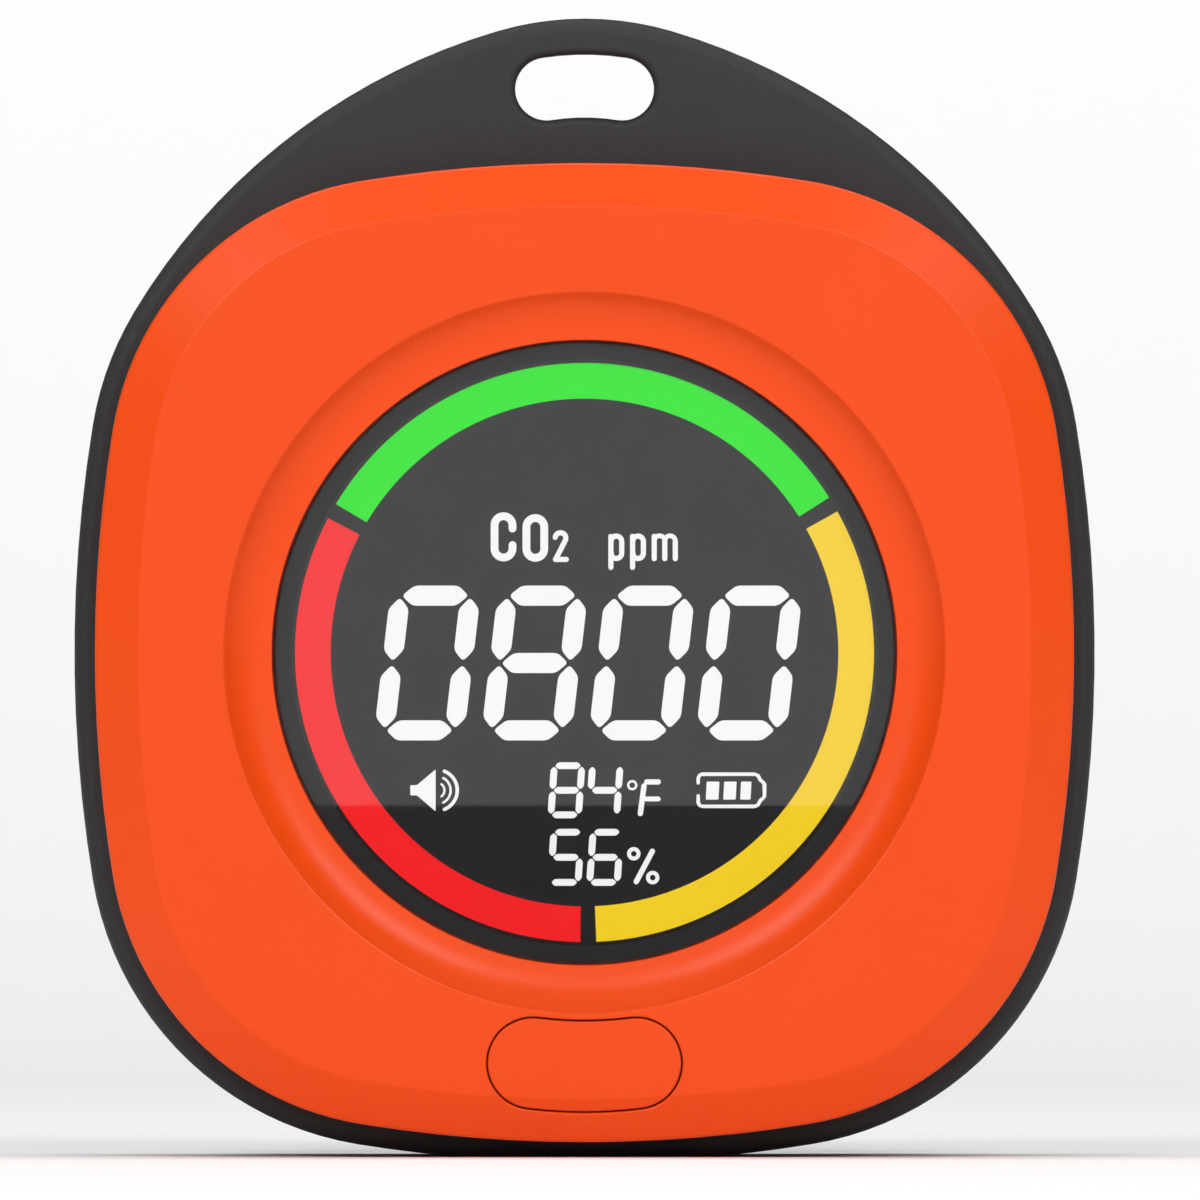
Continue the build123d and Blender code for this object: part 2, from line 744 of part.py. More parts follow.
with BuildPart() as display_pins:
    ledge_edge = glass_half + contact_ledge
    for height, reach, thickness in (
        (rear_glass_front, pin_grip, pin_thickness),
        (rear_polariser_front - pin_thickness, pin_grip, pin_thickness),
        (board_front, 0, rear_glass_front + pin_thickness - board_front),
    ):
        with BuildSketch(face(height)):
            with Locations((0, ledge_edge - reach)):
                with GridLocations(pin_pitch, 1, pin_count, 1):
                    Rectangle(pin_width, reach + pin_thickness, align=(Align.CENTER, Align.MIN))
        extrude(amount=thickness)
save(display_pins, "display_pins")

band_sweep = 120 - band_gap_degrees
for label, gap_angle in (("band_green", 30), ("band_red", 150), ("band_yellow", 270)):
    start = gap_angle + band_turn + band_gap_degrees / 2
    with BuildPart() as band:
        with BuildSketch(face(polariser_front)):
            with BuildLine():
                outer_arc = CenterArc((0, 0), band_radius, start, band_sweep)
                inner_arc = CenterArc((0, 0), band_radius - band_width, start, band_sweep)
                Line(outer_arc @ 0, inner_arc @ 0)
                Line(outer_arc @ 1, inner_arc @ 1)
            make_face()
        extrude(amount=band_thickness)
    save(band, label)

# ================= board and switch =================

with BuildPart() as main_board:
    with BuildSketch(face(board_back)):
        add(squircle(-cover_wall - board_gap))
        with Locations(*boss_places):
            Circle(shell_boss_radius + boss_notch_gap, mode=Mode.SUBTRACT)
        # The notches run out through the corners.
        with Locations(*[(notch_run * u, notch_run * v) for u, v in boss_places]):
            Rectangle(2 * shell_boss_radius, 2 * shell_boss_radius, rotation=45, mode=Mode.SUBTRACT)
        with Locations(*post_places):
            Circle(board_clear_radius, mode=Mode.SUBTRACT)
        with Locations((header_u, sensor_up)):
            with GridLocations(1, header_pitch, 1, header_count):
                Circle(header_hole_radius, mode=Mode.SUBTRACT)
    extrude(amount=board_thickness)
save(main_board, "main_board")

with BuildPart() as switch_housing:
    with BuildSketch(face(board_front)):
        with Locations((0, switch_v)):
            RectangleRounded(switch_side, switch_side, switch_corner)
    extrude(amount=switch_height)
    with BuildSketch(face(board_front + switch_floor)):
        with Locations((0, switch_v)):
            Circle(plunger_flange_radius + plunger_gap)
    extrude(amount=switch_height, mode=Mode.SUBTRACT)
save(switch_housing, "switch_housing")

with BuildPart() as switch_plate:
    with BuildSketch(face(board_front + switch_height)):
        with Locations((0, switch_v)):
            RectangleRounded(switch_side, switch_side, switch_corner)
            Circle(plunger_radius + plunger_gap, mode=Mode.SUBTRACT)
    extrude(amount=switch_plate_thickness)
save(switch_plate, "switch_plate")

with BuildPart() as switch_plunger:
    flange_front = board_front + switch_height - plunger_gap
    stages = (
        (board_front + switch_floor + dome_height, plunger_foot_radius, flange_front),
        (flange_front - plunger_flange, plunger_flange_radius, flange_front),
        (flange_front - plunger_flange, plunger_radius, board_front + plunger_top),
    )
    for start, radius, end in stages:
        with BuildSketch(face(start)):
            with Locations((0, switch_v)):
                Circle(radius)
        extrude(amount=end - start)
    chamfer(switch_plunger.faces().sort_by(Axis.Y)[0].edges(), length=plunger_chamfer)
save(switch_plunger, "switch_plunger")

# Snap dome: a thin spherical cap standing on the housing's floor.
with BuildPart() as switch_dome:
    dome_sphere = (plunger_flange_radius**2 + dome_height**2) / (2 * dome_height)
    dome_sweep = degrees(asin(plunger_flange_radius / dome_sphere))
    dome_centre = (0, board_front + switch_floor + dome_height - dome_sphere)
    with BuildSketch(section.offset(-switch_v)):
        with BuildLine():
            outer_arc = CenterArc(dome_centre, dome_sphere, 90 - dome_sweep, dome_sweep)
            inner_arc = CenterArc(dome_centre, dome_sphere - dome_thickness, 90 - dome_sweep, dome_sweep)
            Line(outer_arc @ 0, inner_arc @ 0)
            Line(outer_arc @ 1, inner_arc @ 1)
        make_face()
    revolve(axis=Axis((0, 0, display_height + switch_v), (0, -1, 0)))
    with BuildSketch(face(board_front)):
        with Locations((0, switch_v)):
            Circle(2 * plunger_flange_radius)
    extrude(amount=switch_floor, mode=Mode.SUBTRACT)
save(switch_dome, "switch_dome")

with BuildPart() as switch_legs:
    for side in (-1, 1):
        with BuildSketch(face(board_front)):
            with Locations((side * (switch_side / 2 + leg_foot / 2), switch_v)):
                with GridLocations(1, leg_spacing, 1, 2):
                    Rectangle(leg_foot, leg_width)
        extrude(amount=leg_thickness)
        with BuildSketch(face(board_front)):
            with Locations((side * (switch_side / 2 + leg_thickness / 2), switch_v)):
                with GridLocations(1, leg_spacing, 1, 2):
                    Rectangle(leg_thickness, leg_width)
        extrude(amount=leg_rise)
save(switch_legs, "switch_legs")

# ================= charging port =================

port_face = side_view.offset(port_mouth)
with BuildPart() as port_shell:
    with BuildSketch(port_face):
        with Locations((port_middle, 0)):
            SlotOverall(port_width, port_height, rotation=90)
    extrude(amount=-port_length)
    with BuildSketch(port_face):
        with Locations((port_middle, 0)):
            SlotOverall(port_width - 2 * port_wall, port_height - 2 * port_wall, rotation=90)
    extrude(amount=-port_length, mode=Mode.SUBTRACT)
save(port_shell, "port_shell")

with BuildPart() as port_tongue:
    with BuildSketch(side_view.offset(port_mouth - port_length)):
        with Locations((port_middle, 0)):
            SlotOverall(port_width - 2 * port_wall, port_height - 2 * port_wall, rotation=90)
    extrude(amount=port_block_length)
    with BuildSketch(side_view.offset(port_mouth - port_length)):
        with Locations((port_middle, 0)):
            Rectangle(port_tongue_thickness, port_tongue_width)
    extrude(amount=port_block_length + port_tongue_length)
save(port_tongue, "port_tongue")

with BuildPart() as port_contacts:
    for side in (-1, 1):
        with BuildSketch(side_view.offset(port_mouth - port_length + port_block_length)):
            with Locations((port_middle + side * (port_tongue_thickness + port_contact_thickness) / 2, 0)):
                with GridLocations(1, port_contact_pitch, 1, port_contact_count):
                    Rectangle(port_contact_thickness, port_contact_width)
        extrude(amount=port_tongue_length - port_contact_inset)
save(port_contacts, "port_contacts")

# ================= battery =================

with BuildPart() as battery_pad:
    with BuildSketch(face(shell_floor)):
        with Locations((0, -battery_drop)):
            Rectangle(battery_width - 2 * battery_pad_margin, battery_height - 2 * battery_pad_margin)
    extrude(amount=battery_pad_thickness)
save(battery_pad, "battery_pad")

battery_back = shell_floor + battery_pad_thickness
with BuildPart() as battery_cell:
    with BuildSketch(face(battery_back)):
        with Locations((0, -battery_drop)):
            RectangleRounded(battery_width, battery_height, battery_edge)
    extrude(amount=battery_thickness)
    fillet(battery_cell.faces().filter_by(Axis.Y).edges(), radius=battery_edge_fillet)
save(battery_cell, "battery_cell")

socket_place = (-socket_across, -socket_drop)
socket_back = board_back - socket_thickness
with BuildPart() as battery_socket:
    with BuildSketch(face(socket_back)):
        with Locations(socket_place):
            Rectangle(socket_width, socket_height)
    extrude(amount=socket_thickness)
    with BuildSketch(side_view.offset(socket_across + socket_width / 2)):
        with Locations((board_back - socket_thickness / 2, -socket_drop)):
            Rectangle(plug_thickness + 2 * plug_gap, plug_height + 2 * plug_gap)
    extrude(amount=-plug_insertion - plug_gap, mode=Mode.SUBTRACT)
save(battery_socket, "battery_socket")

plug_mouth = socket_across + socket_width / 2 + plug_width - plug_insertion
with BuildPart() as battery_plug:
    with BuildSketch(side_view.offset(plug_mouth)):
        with Locations((board_back - socket_thickness / 2, -socket_drop)):
            Rectangle(plug_thickness, plug_height)
    extrude(amount=-plug_width)
save(battery_plug, "battery_plug")

for label, side in (("battery_lead_red", 1), ("battery_lead_black", -1)):
    v = -socket_drop + side * lead_spacing / 2
    start = (-battery_width / 2, battery_back + lead_rise)
    bend = -battery_width / 2 - lead_run
    with BuildPart() as lead:
        with BuildLine(section.offset(-v)):
            FilletPolyline(
                start,
                (bend, start[1]),
                (bend, board_back - socket_thickness / 2),
                (-plug_mouth, board_back - socket_thickness / 2),
                radius=lead_bend_radius,
            )
        with BuildSketch(side_view.offset(battery_width / 2)):
            with Locations((start[1], v)):
                Circle(lead_diameter / 2)
        sweep()
    save(lead, label)

# ================= gas sensor =================

sensor_board_back = board_back - sensor_standoff - sensor_board_thickness
sensor_case_back = sensor_board_back - sensor_case_thickness
case_u = sensor_across + header_strip_width / 2
with BuildPart() as sensor_board:
    with BuildSketch(face(sensor_board_back)):
        with Locations((sensor_across, sensor_up)):
            RectangleRounded(sensor_width, sensor_height, sensor_board_corner)
        with Locations((header_u, sensor_up)):
            with GridLocations(1, header_pitch, 1, header_count):
                Circle(header_hole_radius, mode=Mode.SUBTRACT)
    extrude(amount=sensor_board_thickness)
save(sensor_board, "sensor_board")

with BuildPart() as sensor_case:
    with BuildSketch(face(sensor_case_back)):
        with Locations((case_u, sensor_up)):
            RectangleRounded(sensor_case_width, sensor_case_height, sensor_case_fillet)
    extrude(amount=sensor_case_thickness)
    fillet(sensor_case.faces().sort_by(Axis.Y)[-1].edges(), radius=sensor_case_wall / 2)
    with BuildSketch(face(sensor_case_back + sensor_case_wall)):
        with Locations((case_u, sensor_up)):
            Rectangle(sensor_case_width - 2 * sensor_case_wall, sensor_case_height - 2 * sensor_case_wall)
    extrude(amount=sensor_case_thickness, mode=Mode.SUBTRACT)
    with BuildSketch(face(sensor_case_back)):
        with Locations((case_u, sensor_up)):
            with GridLocations(membrane_width / 2, membrane_height / 2, 2, 2):
                Circle(gas_inlet_radius)
    extrude(amount=sensor_case_wall, mode=Mode.SUBTRACT)
save(sensor_case, "sensor_case")

with BuildPart() as sensor_membrane:
    with BuildSketch(face(sensor_case_back - membrane_thickness)):
        with Locations((case_u, sensor_up)):
            Rectangle(membrane_width, membrane_height)
    extrude(amount=membrane_thickness)
save(sensor_membrane, "sensor_membrane")

optics_height = sensor_board_back - detector_radius - optics_gap
optics_view = side_view.offset(-case_u)
with BuildPart() as sensor_lamp:
    with BuildSketch(optics_view.offset(optics_spacing / 2)):
        with Locations((optics_height, sensor_up)):
            Circle(lamp_can_radius)
    extrude(amount=lamp_can_length / 2, both=True)
    fillet(sensor_lamp.faces().sort_by(Axis.X)[-1].edges(), radius=lamp_can_radius * 0.8)
save(sensor_lamp, "sensor_lamp")

with BuildPart() as sensor_detector:
    with BuildSketch(optics_view.offset(-optics_spacing / 2)):
        with Locations((optics_height, sensor_up)):
            Circle(detector_radius)
    extrude(amount=detector_length / 2, both=True)
    with BuildSketch(optics_view.offset(-optics_spacing / 2 + detector_length / 2)):
        with Locations((optics_height, sensor_up)):
            Rectangle(detector_radius, detector_radius)
    extrude(amount=-detector_window_depth, mode=Mode.SUBTRACT)
save(sensor_detector, "sensor_detector")

with BuildPart() as header_strip:
    with BuildSketch(face(board_back - sensor_standoff)):
        with Locations((header_u, sensor_up)):
            Rectangle(header_strip_width, header_count * header_pitch)
            with GridLocations(1, header_pitch, 1, header_count):
                Rectangle(header_pin, header_pin, mode=Mode.SUBTRACT)
    extrude(amount=sensor_standoff)
save(header_strip, "header_strip")

with BuildPart() as header_pins:
    with BuildSketch(face(sensor_board_back - header_pin)):
        with Locations((header_u, sensor_up)):
            with GridLocations(1, header_pitch, 1, header_count):
                Rectangle(header_pin, header_pin)
    extrude(amount=board_front - sensor_board_back + header_pin - header_pin_drop)
save(header_pins, "header_pins")

# ================= small board parts =================

sounder_back = board_back - sounder_height
with BuildPart() as sounder_case:
    with BuildSketch(face(sounder_back)):
        with Locations((sounder_across, 0)):
            Circle(sounder_radius)
    extrude(amount=sounder_height)
    fillet(sounder_case.faces().sort_by(Axis.Y)[-1].edges(), radius=sounder_fillet)
    with BuildSketch(face(sounder_back + sounder_wall)):
        with Locations((sounder_across, 0)):
            Circle(sounder_radius - sounder_wall)
    extrude(amount=sounder_height - sounder_wall, mode=Mode.SUBTRACT)
    with BuildSketch(face(sounder_back)):
        with Locations((sounder_across, 0)):
            Circle(sounder_hole_radius)
    extrude(amount=sounder_wall, mode=Mode.SUBTRACT)
save(sounder_case, "sounder_case")

with BuildPart() as sounder_disc:
    with BuildSketch(face(sounder_back + 2 * sounder_wall)):
        with Locations((sounder_across, 0)):
            Circle(sounder_radius - sounder_wall)
    extrude(amount=sounder_disc_thickness)
save(sounder_disc, "sounder_disc")

with BuildPart() as controller_chip:
    with BuildSketch(face(board_back - chip_thickness)):
        with Locations((chip_across, -chip_drop)):
            Rectangle(chip_side, chip_side)
    extrude(amount=chip_thickness)
    with BuildSketch(face(board_back - chip_thickness)):
        mark_shift = chip_side / 2 - chip_mark_inset
        with Locations((chip_across - mark_shift, -chip_drop + mark_shift)):
            Circle(chip_mark_radius)
    extrude(amount=chip_mark_depth, mode=Mode.SUBTRACT)
save(controller_chip, "controller_chip")

with BuildPart() as charger_chip:
    with BuildSketch(face(board_back - charger_thickness)):
        with Locations((-charger_across, -charger_drop)):
            Rectangle(charger_width, charger_height)
    extrude(amount=charger_thickness)
    chamfer(charger_chip.faces().sort_by(Axis.Y)[-1].edges(), length=charger_chamfer)
save(charger_chip, "charger_chip")

with BuildPart() as power_coil:
    with BuildSketch(face(board_back - coil_thickness)):
        with Locations((-coil_across, -coil_drop)):
            RectangleRounded(coil_side, coil_side, coil_corner)
    extrude(amount=coil_thickness)
    fillet(power_coil.faces().sort_by(Axis.Y)[-1].edges(), radius=coil_corner / 2)
save(power_coil, "power_coil")

with BuildPart() as timing_crystal:
    with BuildSketch(face(board_back - crystal_thickness)):
        with Locations((chip_across, -chip_drop + chip_side / 2 + crystal_height)):
            RectangleRounded(crystal_width, crystal_height, crystal_corner)
    extrude(amount=crystal_thickness)
save(timing_crystal, "timing_crystal")

with BuildPart() as chip_parts:
    with BuildSketch(face(board_back - chip_part_thickness)):
        with Locations((chip_across, -chip_drop - chip_side / 2 - chip_part_gap)):
            with GridLocations(chip_part_pitch, 1, 5, 1):
                Rectangle(chip_part_width, chip_part_length)
        with Locations((chip_across + chip_side / 2 + chip_part_gap, -chip_drop)):
            with GridLocations(1, chip_part_pitch, 1, 4):
                Rectangle(chip_part_length, chip_part_width)
        with Locations((-coil_across, -coil_drop - coil_side / 2 - chip_part_gap)):
            with GridLocations(chip_part_pitch, 1, 3, 1):
                Rectangle(chip_part_width, chip_part_length)
    extrude(amount=chip_part_thickness)
save(chip_parts, "chip_parts")

with BuildPart() as humidity_sensor:
    with BuildSketch(face(board_back - humidity_thickness)):
        with Locations((humidity_across, humidity_rise)):
            Rectangle(humidity_side, humidity_side)
    extrude(amount=humidity_thickness)
    with BuildSketch(face(board_back - humidity_thickness)):
        with Locations((humidity_across, humidity_rise)):
            Circle(humidity_hole_radius)
    extrude(amount=humidity_hole_depth, mode=Mode.SUBTRACT)
save(humidity_sensor, "humidity_sensor")

with BuildPart() as rear_label:
    with BuildSketch(face(label_recess - label_thickness)):
        with Locations((0, -label_drop)):
            film_width = label_width - 2 * label_gap
            film_height = label_height - 2 * label_gap
            RectangleRounded(film_width, film_height, label_corner - label_gap)
    extrude(amount=label_thickness)
save(rear_label, "rear_label")

# ================= screws =================

with BuildPart() as case_screws:
    with Locations(*at(case_seat, *boss_places)):
        add(
            screw(
                case_head_radius,
                case_head_height,
                case_screw_length,
                case_core_radius,
                case_thread_radius,
                case_thread_length,
            )
        )
save(case_screws, "case_screws")

with BuildPart() as board_screws:
    with Locations(*at(board_back, *post_places)):
        add(
            screw(
                board_head_radius,
                board_head_height,
                board_screw_length,
                board_core_radius,
                board_thread_radius,
                board_thread_length,
            )
        )
save(board_screws, "board_screws")
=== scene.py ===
from math import atan2, cos, degrees, hypot, pi, radians, sin

import bmesh
import bpy
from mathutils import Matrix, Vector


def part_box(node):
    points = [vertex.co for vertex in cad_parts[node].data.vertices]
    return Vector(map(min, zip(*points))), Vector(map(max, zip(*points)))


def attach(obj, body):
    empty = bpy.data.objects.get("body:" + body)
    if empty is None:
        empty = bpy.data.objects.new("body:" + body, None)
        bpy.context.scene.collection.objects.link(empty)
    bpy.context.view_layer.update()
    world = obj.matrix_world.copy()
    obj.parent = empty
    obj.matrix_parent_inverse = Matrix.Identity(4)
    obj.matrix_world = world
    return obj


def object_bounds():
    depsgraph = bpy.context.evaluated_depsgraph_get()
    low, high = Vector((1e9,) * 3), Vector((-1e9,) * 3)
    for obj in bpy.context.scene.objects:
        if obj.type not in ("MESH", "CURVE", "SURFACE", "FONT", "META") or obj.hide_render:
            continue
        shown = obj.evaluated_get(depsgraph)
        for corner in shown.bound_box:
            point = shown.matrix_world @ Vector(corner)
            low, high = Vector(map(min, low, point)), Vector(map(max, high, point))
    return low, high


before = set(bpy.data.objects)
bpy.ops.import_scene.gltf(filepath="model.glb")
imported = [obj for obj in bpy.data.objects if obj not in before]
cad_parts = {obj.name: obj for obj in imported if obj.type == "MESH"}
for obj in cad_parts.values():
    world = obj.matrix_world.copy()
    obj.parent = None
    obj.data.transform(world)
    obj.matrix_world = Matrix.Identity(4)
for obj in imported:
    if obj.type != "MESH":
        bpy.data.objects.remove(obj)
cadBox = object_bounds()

mm = 0.001
print("frame loaded:", len(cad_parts), "CAD nodes")


def toLinear(hexColour):
    def channel(text):
        value = int(text, 16) / 255
        return value / 12.92 if value <= 0.04045 else ((value + 0.055) / 1.055) ** 2.4
    return (channel(hexColour[0:2]), channel(hexColour[2:4]), channel(hexColour[4:6]), 1.0)


# settings: a socket's name or number, or one of the node's own properties
# links: a socket's name or number, to the output that feeds it
def addNode(material, kind, settings=None, links=None):
    node = material.node_tree.nodes.new(kind)
    for key, value in (settings or {}).items():
        if isinstance(key, int) or key in node.inputs:
            node.inputs[key].default_value = value
        else:
            setattr(node, key, value)
    for key, source in (links or {}).items():
        material.node_tree.links.new(source, node.inputs[key])
    return node


# an empty material, and the place on the object that every pattern is laid out by
def startMaterial(name):
    material = bpy.data.materials.new(name)
    material.use_nodes = True
    material.node_tree.nodes.clear()
    return material, addNode(material, "ShaderNodeTexCoord").outputs["Object"]


def mixTones(material, deep, pale, share):
    tones = {"data_type": "RGBA", 6: toLinear(deep), 7: toLinear(pale)}
    return addNode(material, "ShaderNodeMix", tones, {0: share}).outputs[2]


def finishMaterial(material, shine, colour, rough, bump):
    links = {"Base Color": colour, "Roughness": rough, "Normal": bump}
    shader = addNode(material, "ShaderNodeBsdfPrincipled", shine, links)
    addNode(material, "ShaderNodeOutputMaterial", {}, {"Surface": shader.outputs[0]})
    return material


# noise scale that gives features of about this size
def perMetre(sizeMm):
    return 1 / (sizeMm * mm)


# Every moulded part: a mottle of the colour, a fine grain from the tool's surface, and edges polished
# by handling.
def mouldedPlastic(name, look):
    material, place = startMaterial(name)
    mottle = addNode(
        material, "ShaderNodeTexNoise",
        {"Scale": perMetre(look["mottleMm"]), "Detail": 3.0, "Roughness": 0.55}, {"Vector": place},
    )
    grain = addNode(
        material, "ShaderNodeTexNoise",
        {"Scale": perMetre(look["grainMm"]), "Detail": 2.5, "Roughness": 0.6}, {"Vector": place},
    )
    rough = addNode(
        material, "ShaderNodeMapRange",
        {"From Min": 0.3, "From Max": 0.7, "To Min": look["roughLow"], "To Max": look["roughHigh"]},
        {"Value": grain.outputs["Fac"]},
    ).outputs[0]
    bump = addNode(
        material, "ShaderNodeBump",
        {"Strength": look["bump"], "Distance": look["grainMm"] * mm * 0.25}, {"Height": grain.outputs["Fac"]},
    )
    if look.get("edgeMm"):
        # a rounded normal differs from the true one only near edges, where hands polish the surface
        rounded = addNode(material, "ShaderNodeBevel", {"samples": 4, "Radius": look["edgeMm"] * mm})
        facing = addNode(material, "ShaderNodeNewGeometry")
        match = addNode(
            material, "ShaderNodeVectorMath", {"operation": "DOT_PRODUCT"},
            {0: rounded.outputs[0], 1: facing.outputs["Normal"]},
        )
        worn = addNode(
            material, "ShaderNodeMapRange",
            {"From Min": 1.0, "From Max": 0.86, "To Min": 1.0, "To Max": look["edgeGloss"]},
            {"Value": match.outputs["Value"]},
        )
        rough = addNode(
            material, "ShaderNodeMath", {"operation": "MULTIPLY"}, {0: rough, 1: worn.outputs[0]},
        ).outputs[0]
    shine = {"IOR": look["ior"], "Specular IOR Level": look["specular"]}
    colour = mixTones(material, look["deep"], look["pale"], mottle.outputs["Fac"])
    return finishMaterial(material, shine, colour, rough, bump.outputs[0])


# Metals: fine lines or grains left by stamping, drawing or plating, drawn coarser than the real
# 5 to 20 microns so that they show.
def stampedMetal(name, look):
    material, place = startMaterial(name)
    stretch = addNode(material, "ShaderNodeMapping", {"Scale": look["stretch"]}, {"Vector": place})
    lines = addNode(
        material, "ShaderNodeTexNoise",
        {"Scale": perMetre(look["lineMm"]), "Detail": 4.0, "Roughness": 0.6}, {"Vector": stretch.outputs[0]},
    )
    clouds = addNode(
        material, "ShaderNodeTexNoise",
        {"Scale": perMetre(look["cloudMm"]), "Detail": 2.0}, {"Vector": place},
    )
    rough = addNode(
        material, "ShaderNodeMapRange",
        {"From Min": 0.25, "From Max": 0.75, "To Min": look["roughLow"], "To Max": look["roughHigh"]},
        {"Value": lines.outputs["Fac"]},
    )
    bump = addNode(
        material, "ShaderNodeBump",
        {"Strength": look["bump"], "Distance": look["lineMm"] * mm * 0.2}, {"Height": lines.outputs["Fac"]},
    )
    colour = mixTones(material, look["deep"], look["pale"], clouds.outputs["Fac"])
    return finishMaterial(material, {"Metallic": 1.0}, colour, rough.outputs[0], bump.outputs[0])


# Circuit boards: a woven glass cloth shows faintly through the lacquer, with copper tracks a shade
# lighter under it.
def lacqueredBoard(name, look):
    material, place = startMaterial(name)
    turned = addNode(material, "ShaderNodeMapping", {"Rotation": (radians(90), 0, 0)}, {"Vector": place})
    weave = addNode(material, "ShaderNodeTexBrick", {
        "Scale": perMetre(look["weaveMm"]) * 0.25, "Mortar Size": 0.06, "Mortar Smooth": 0.6,
        "Color1": (0.5, 0.5, 0.5, 1), "Color2": (0.62, 0.62, 0.62, 1), "Mortar": (0.35, 0.35, 0.35, 1),
    }, {"Vector": turned.outputs[0]})
    tracks = addNode(material, "ShaderNodeTexVoronoi", {
        "distance": "MANHATTAN", "feature": "DISTANCE_TO_EDGE", "Scale": perMetre(look["trackMm"]),
    }, {"Vector": turned.outputs[0]})
    copper = addNode(
        material, "ShaderNodeMapRange",
        {"From Min": 0.04, "From Max": 0.06, "To Min": 1.0, "To Max": 0.0},
        {"Value": tracks.outputs["Distance"]},
    )
    rough = addNode(
        material, "ShaderNodeMapRange",
        {"To Min": look["roughHigh"], "To Max": look["roughLow"]}, {"Value": weave.outputs["Fac"]},
    )
    height = addNode(
        material, "ShaderNodeMath", {"operation": "MULTIPLY_ADD", 1: 0.3},
        {0: weave.outputs["Fac"], 2: copper.outputs[0]},
    )
    bump = addNode(
        material, "ShaderNodeBump", {"Strength": 0.25, "Distance": 0.03 * mm}, {"Height": height.outputs[0]},
    )
    shine = {"IOR": 1.52, "Coat Weight": 0.4, "Coat Roughness": 0.12}
    colour = mixTones(material, look["lacquer"], look["overCopper"], copper.outputs[0])
    return finishMaterial(material, shine, colour, rough.outputs[0], bump.outputs[0])


# Lit parts of the display: even light from behind with the slight unevenness of a diffuser.
def litSegment(name, look):
    material, place = startMaterial(name)
    cells = addNode(
        material, "ShaderNodeTexNoise", {"Scale": perMetre(look["cellMm"]), "Detail": 2.0}, {"Vector": place},
    )
    rough = addNode(
        material, "ShaderNodeMapRange", {"To Min": 0.35, "To Max": 0.5}, {"Value": cells.outputs["Fac"]},
    )
    bump = addNode(
        material, "ShaderNodeBump",
        {"Strength": 0.1, "Distance": 0.01 * mm}, {"Height": cells.outputs["Fac"]},
    )
    shine = {
        "IOR": 1.5, "Specular IOR Level": 0.2,
        "Emission Color": toLinear(look["glow"]), "Emission Strength": look["strength"],
    }
    colour = mixTones(material, look["deep"], look["pale"], cells.outputs["Fac"])
    return finishMaterial(material, shine, colour, rough.outputs[0], bump.outputs[0])


# Clear parts: smooth, with the faint waviness of moulded or floated sheet.
def clearSheet(name, look):
    material, place = startMaterial(name)
    wave = addNode(
        material, "ShaderNodeTexNoise", {"Scale": perMetre(look["waveMm"]), "Detail": 1.0}, {"Vector": place},
    )
    rough = addNode(
        material, "ShaderNodeMapRange",
        {"To Min": look["roughLow"], "To Max": look["roughHigh"]}, {"Value": wave.outputs["Fac"]},
    )
    bump = addNode(
        material, "ShaderNodeBump",
        {"Strength": look["bump"], "Distance": 0.001 * mm}, {"Height": wave.outputs["Fac"]},
    )
    shine = {"IOR": look["ior"], "Transmission Weight": look["clear"]}
    colour = mixTones(material, look["deep"], look["pale"], wave.outputs["Fac"])
    return finishMaterial(material, shine, colour, rough.outputs[0], bump.outputs[0])


# Soft parts: open cells or fibres that take the shine away, with a sheen at grazing angles.
def softFibre(name, look):
    material, place = startMaterial(name)
    cells = addNode(material, "ShaderNodeTexVoronoi", {"Scale": perMetre(look["cellMm"])}, {"Vector": place})
    fuzz = addNode(
        material, "ShaderNodeTexNoise",
        {"Scale": perMetre(look["cellMm"] * 3), "Detail": 4.0}, {"Vector": place},
    )
    rough = addNode(
        material, "ShaderNodeMapRange",
        {"To Min": 0.75, "To Max": 0.95}, {"Value": cells.outputs["Distance"]},
    )
    bump = addNode(
        material, "ShaderNodeBump",
        {"Strength": 0.6, "Distance": look["cellMm"] * mm * 0.4}, {"Height": cells.outputs["Distance"]},
    )
    shine = {"IOR": 1.45, "Sheen Weight": look["sheen"], "Sheen Roughness": 0.5}
    colour = mixTones(material, look["deep"], look["pale"], fuzz.outputs["Fac"])
    return finishMaterial(material, shine, colour, rough.outputs[0], bump.outputs[0])


# self-coloured ABS from a lightly spark-eroded tool: an even satin that goes a little glossy on its edges
orangeAbs = mouldedPlastic("satinOrangeAbs", {
    "deep": "DF4404", "pale": "E34806", "mottleMm": 9.0, "grainMm": 0.22, "bump": 0.08,
    "roughLow": 0.3, "roughHigh": 0.36, "ior": 1.53, "specular": 0.22, "edgeMm": 0.25, "edgeGloss": 0.8,
})
# glass-filled ABS from a coarser spark texture: dry and dark, with a fine sparkle where the light grazes it
greyAbs = mouldedPlastic("sparkTexturedGreyAbs", {
    "deep": "2A2C2D", "pale": "313435", "mottleMm": 7.0, "grainMm": 0.3, "bump": 0.3,
    "roughLow": 0.5, "roughHigh": 0.66, "ior": 1.53, "specular": 0.22, "edgeMm": 0.3, "edgeGloss": 0.7,
})
# carbon-filled nylon, moulded: deep black with a dull shine
blackNylon = mouldedPlastic("mouldedBlackNylon", {
    "deep": "141415", "pale": "1C1C1E", "mottleMm": 2.0, "grainMm": 0.12, "bump": 0.25,
    "roughLow": 0.4, "roughHigh": 0.55, "ior": 1.53, "specular": 0.5,
})
# transfer-moulded epoxy: chips look grey-black and slightly sandy
epoxyBlack = mouldedPlastic("mouldedChipEpoxy", {
    "deep": "18181A", "pale": "242427", "mottleMm": 1.2, "grainMm": 0.1, "bump": 0.35,
    "roughLow": 0.55, "roughHigh": 0.72, "ior": 1.55, "specular": 0.5,
})
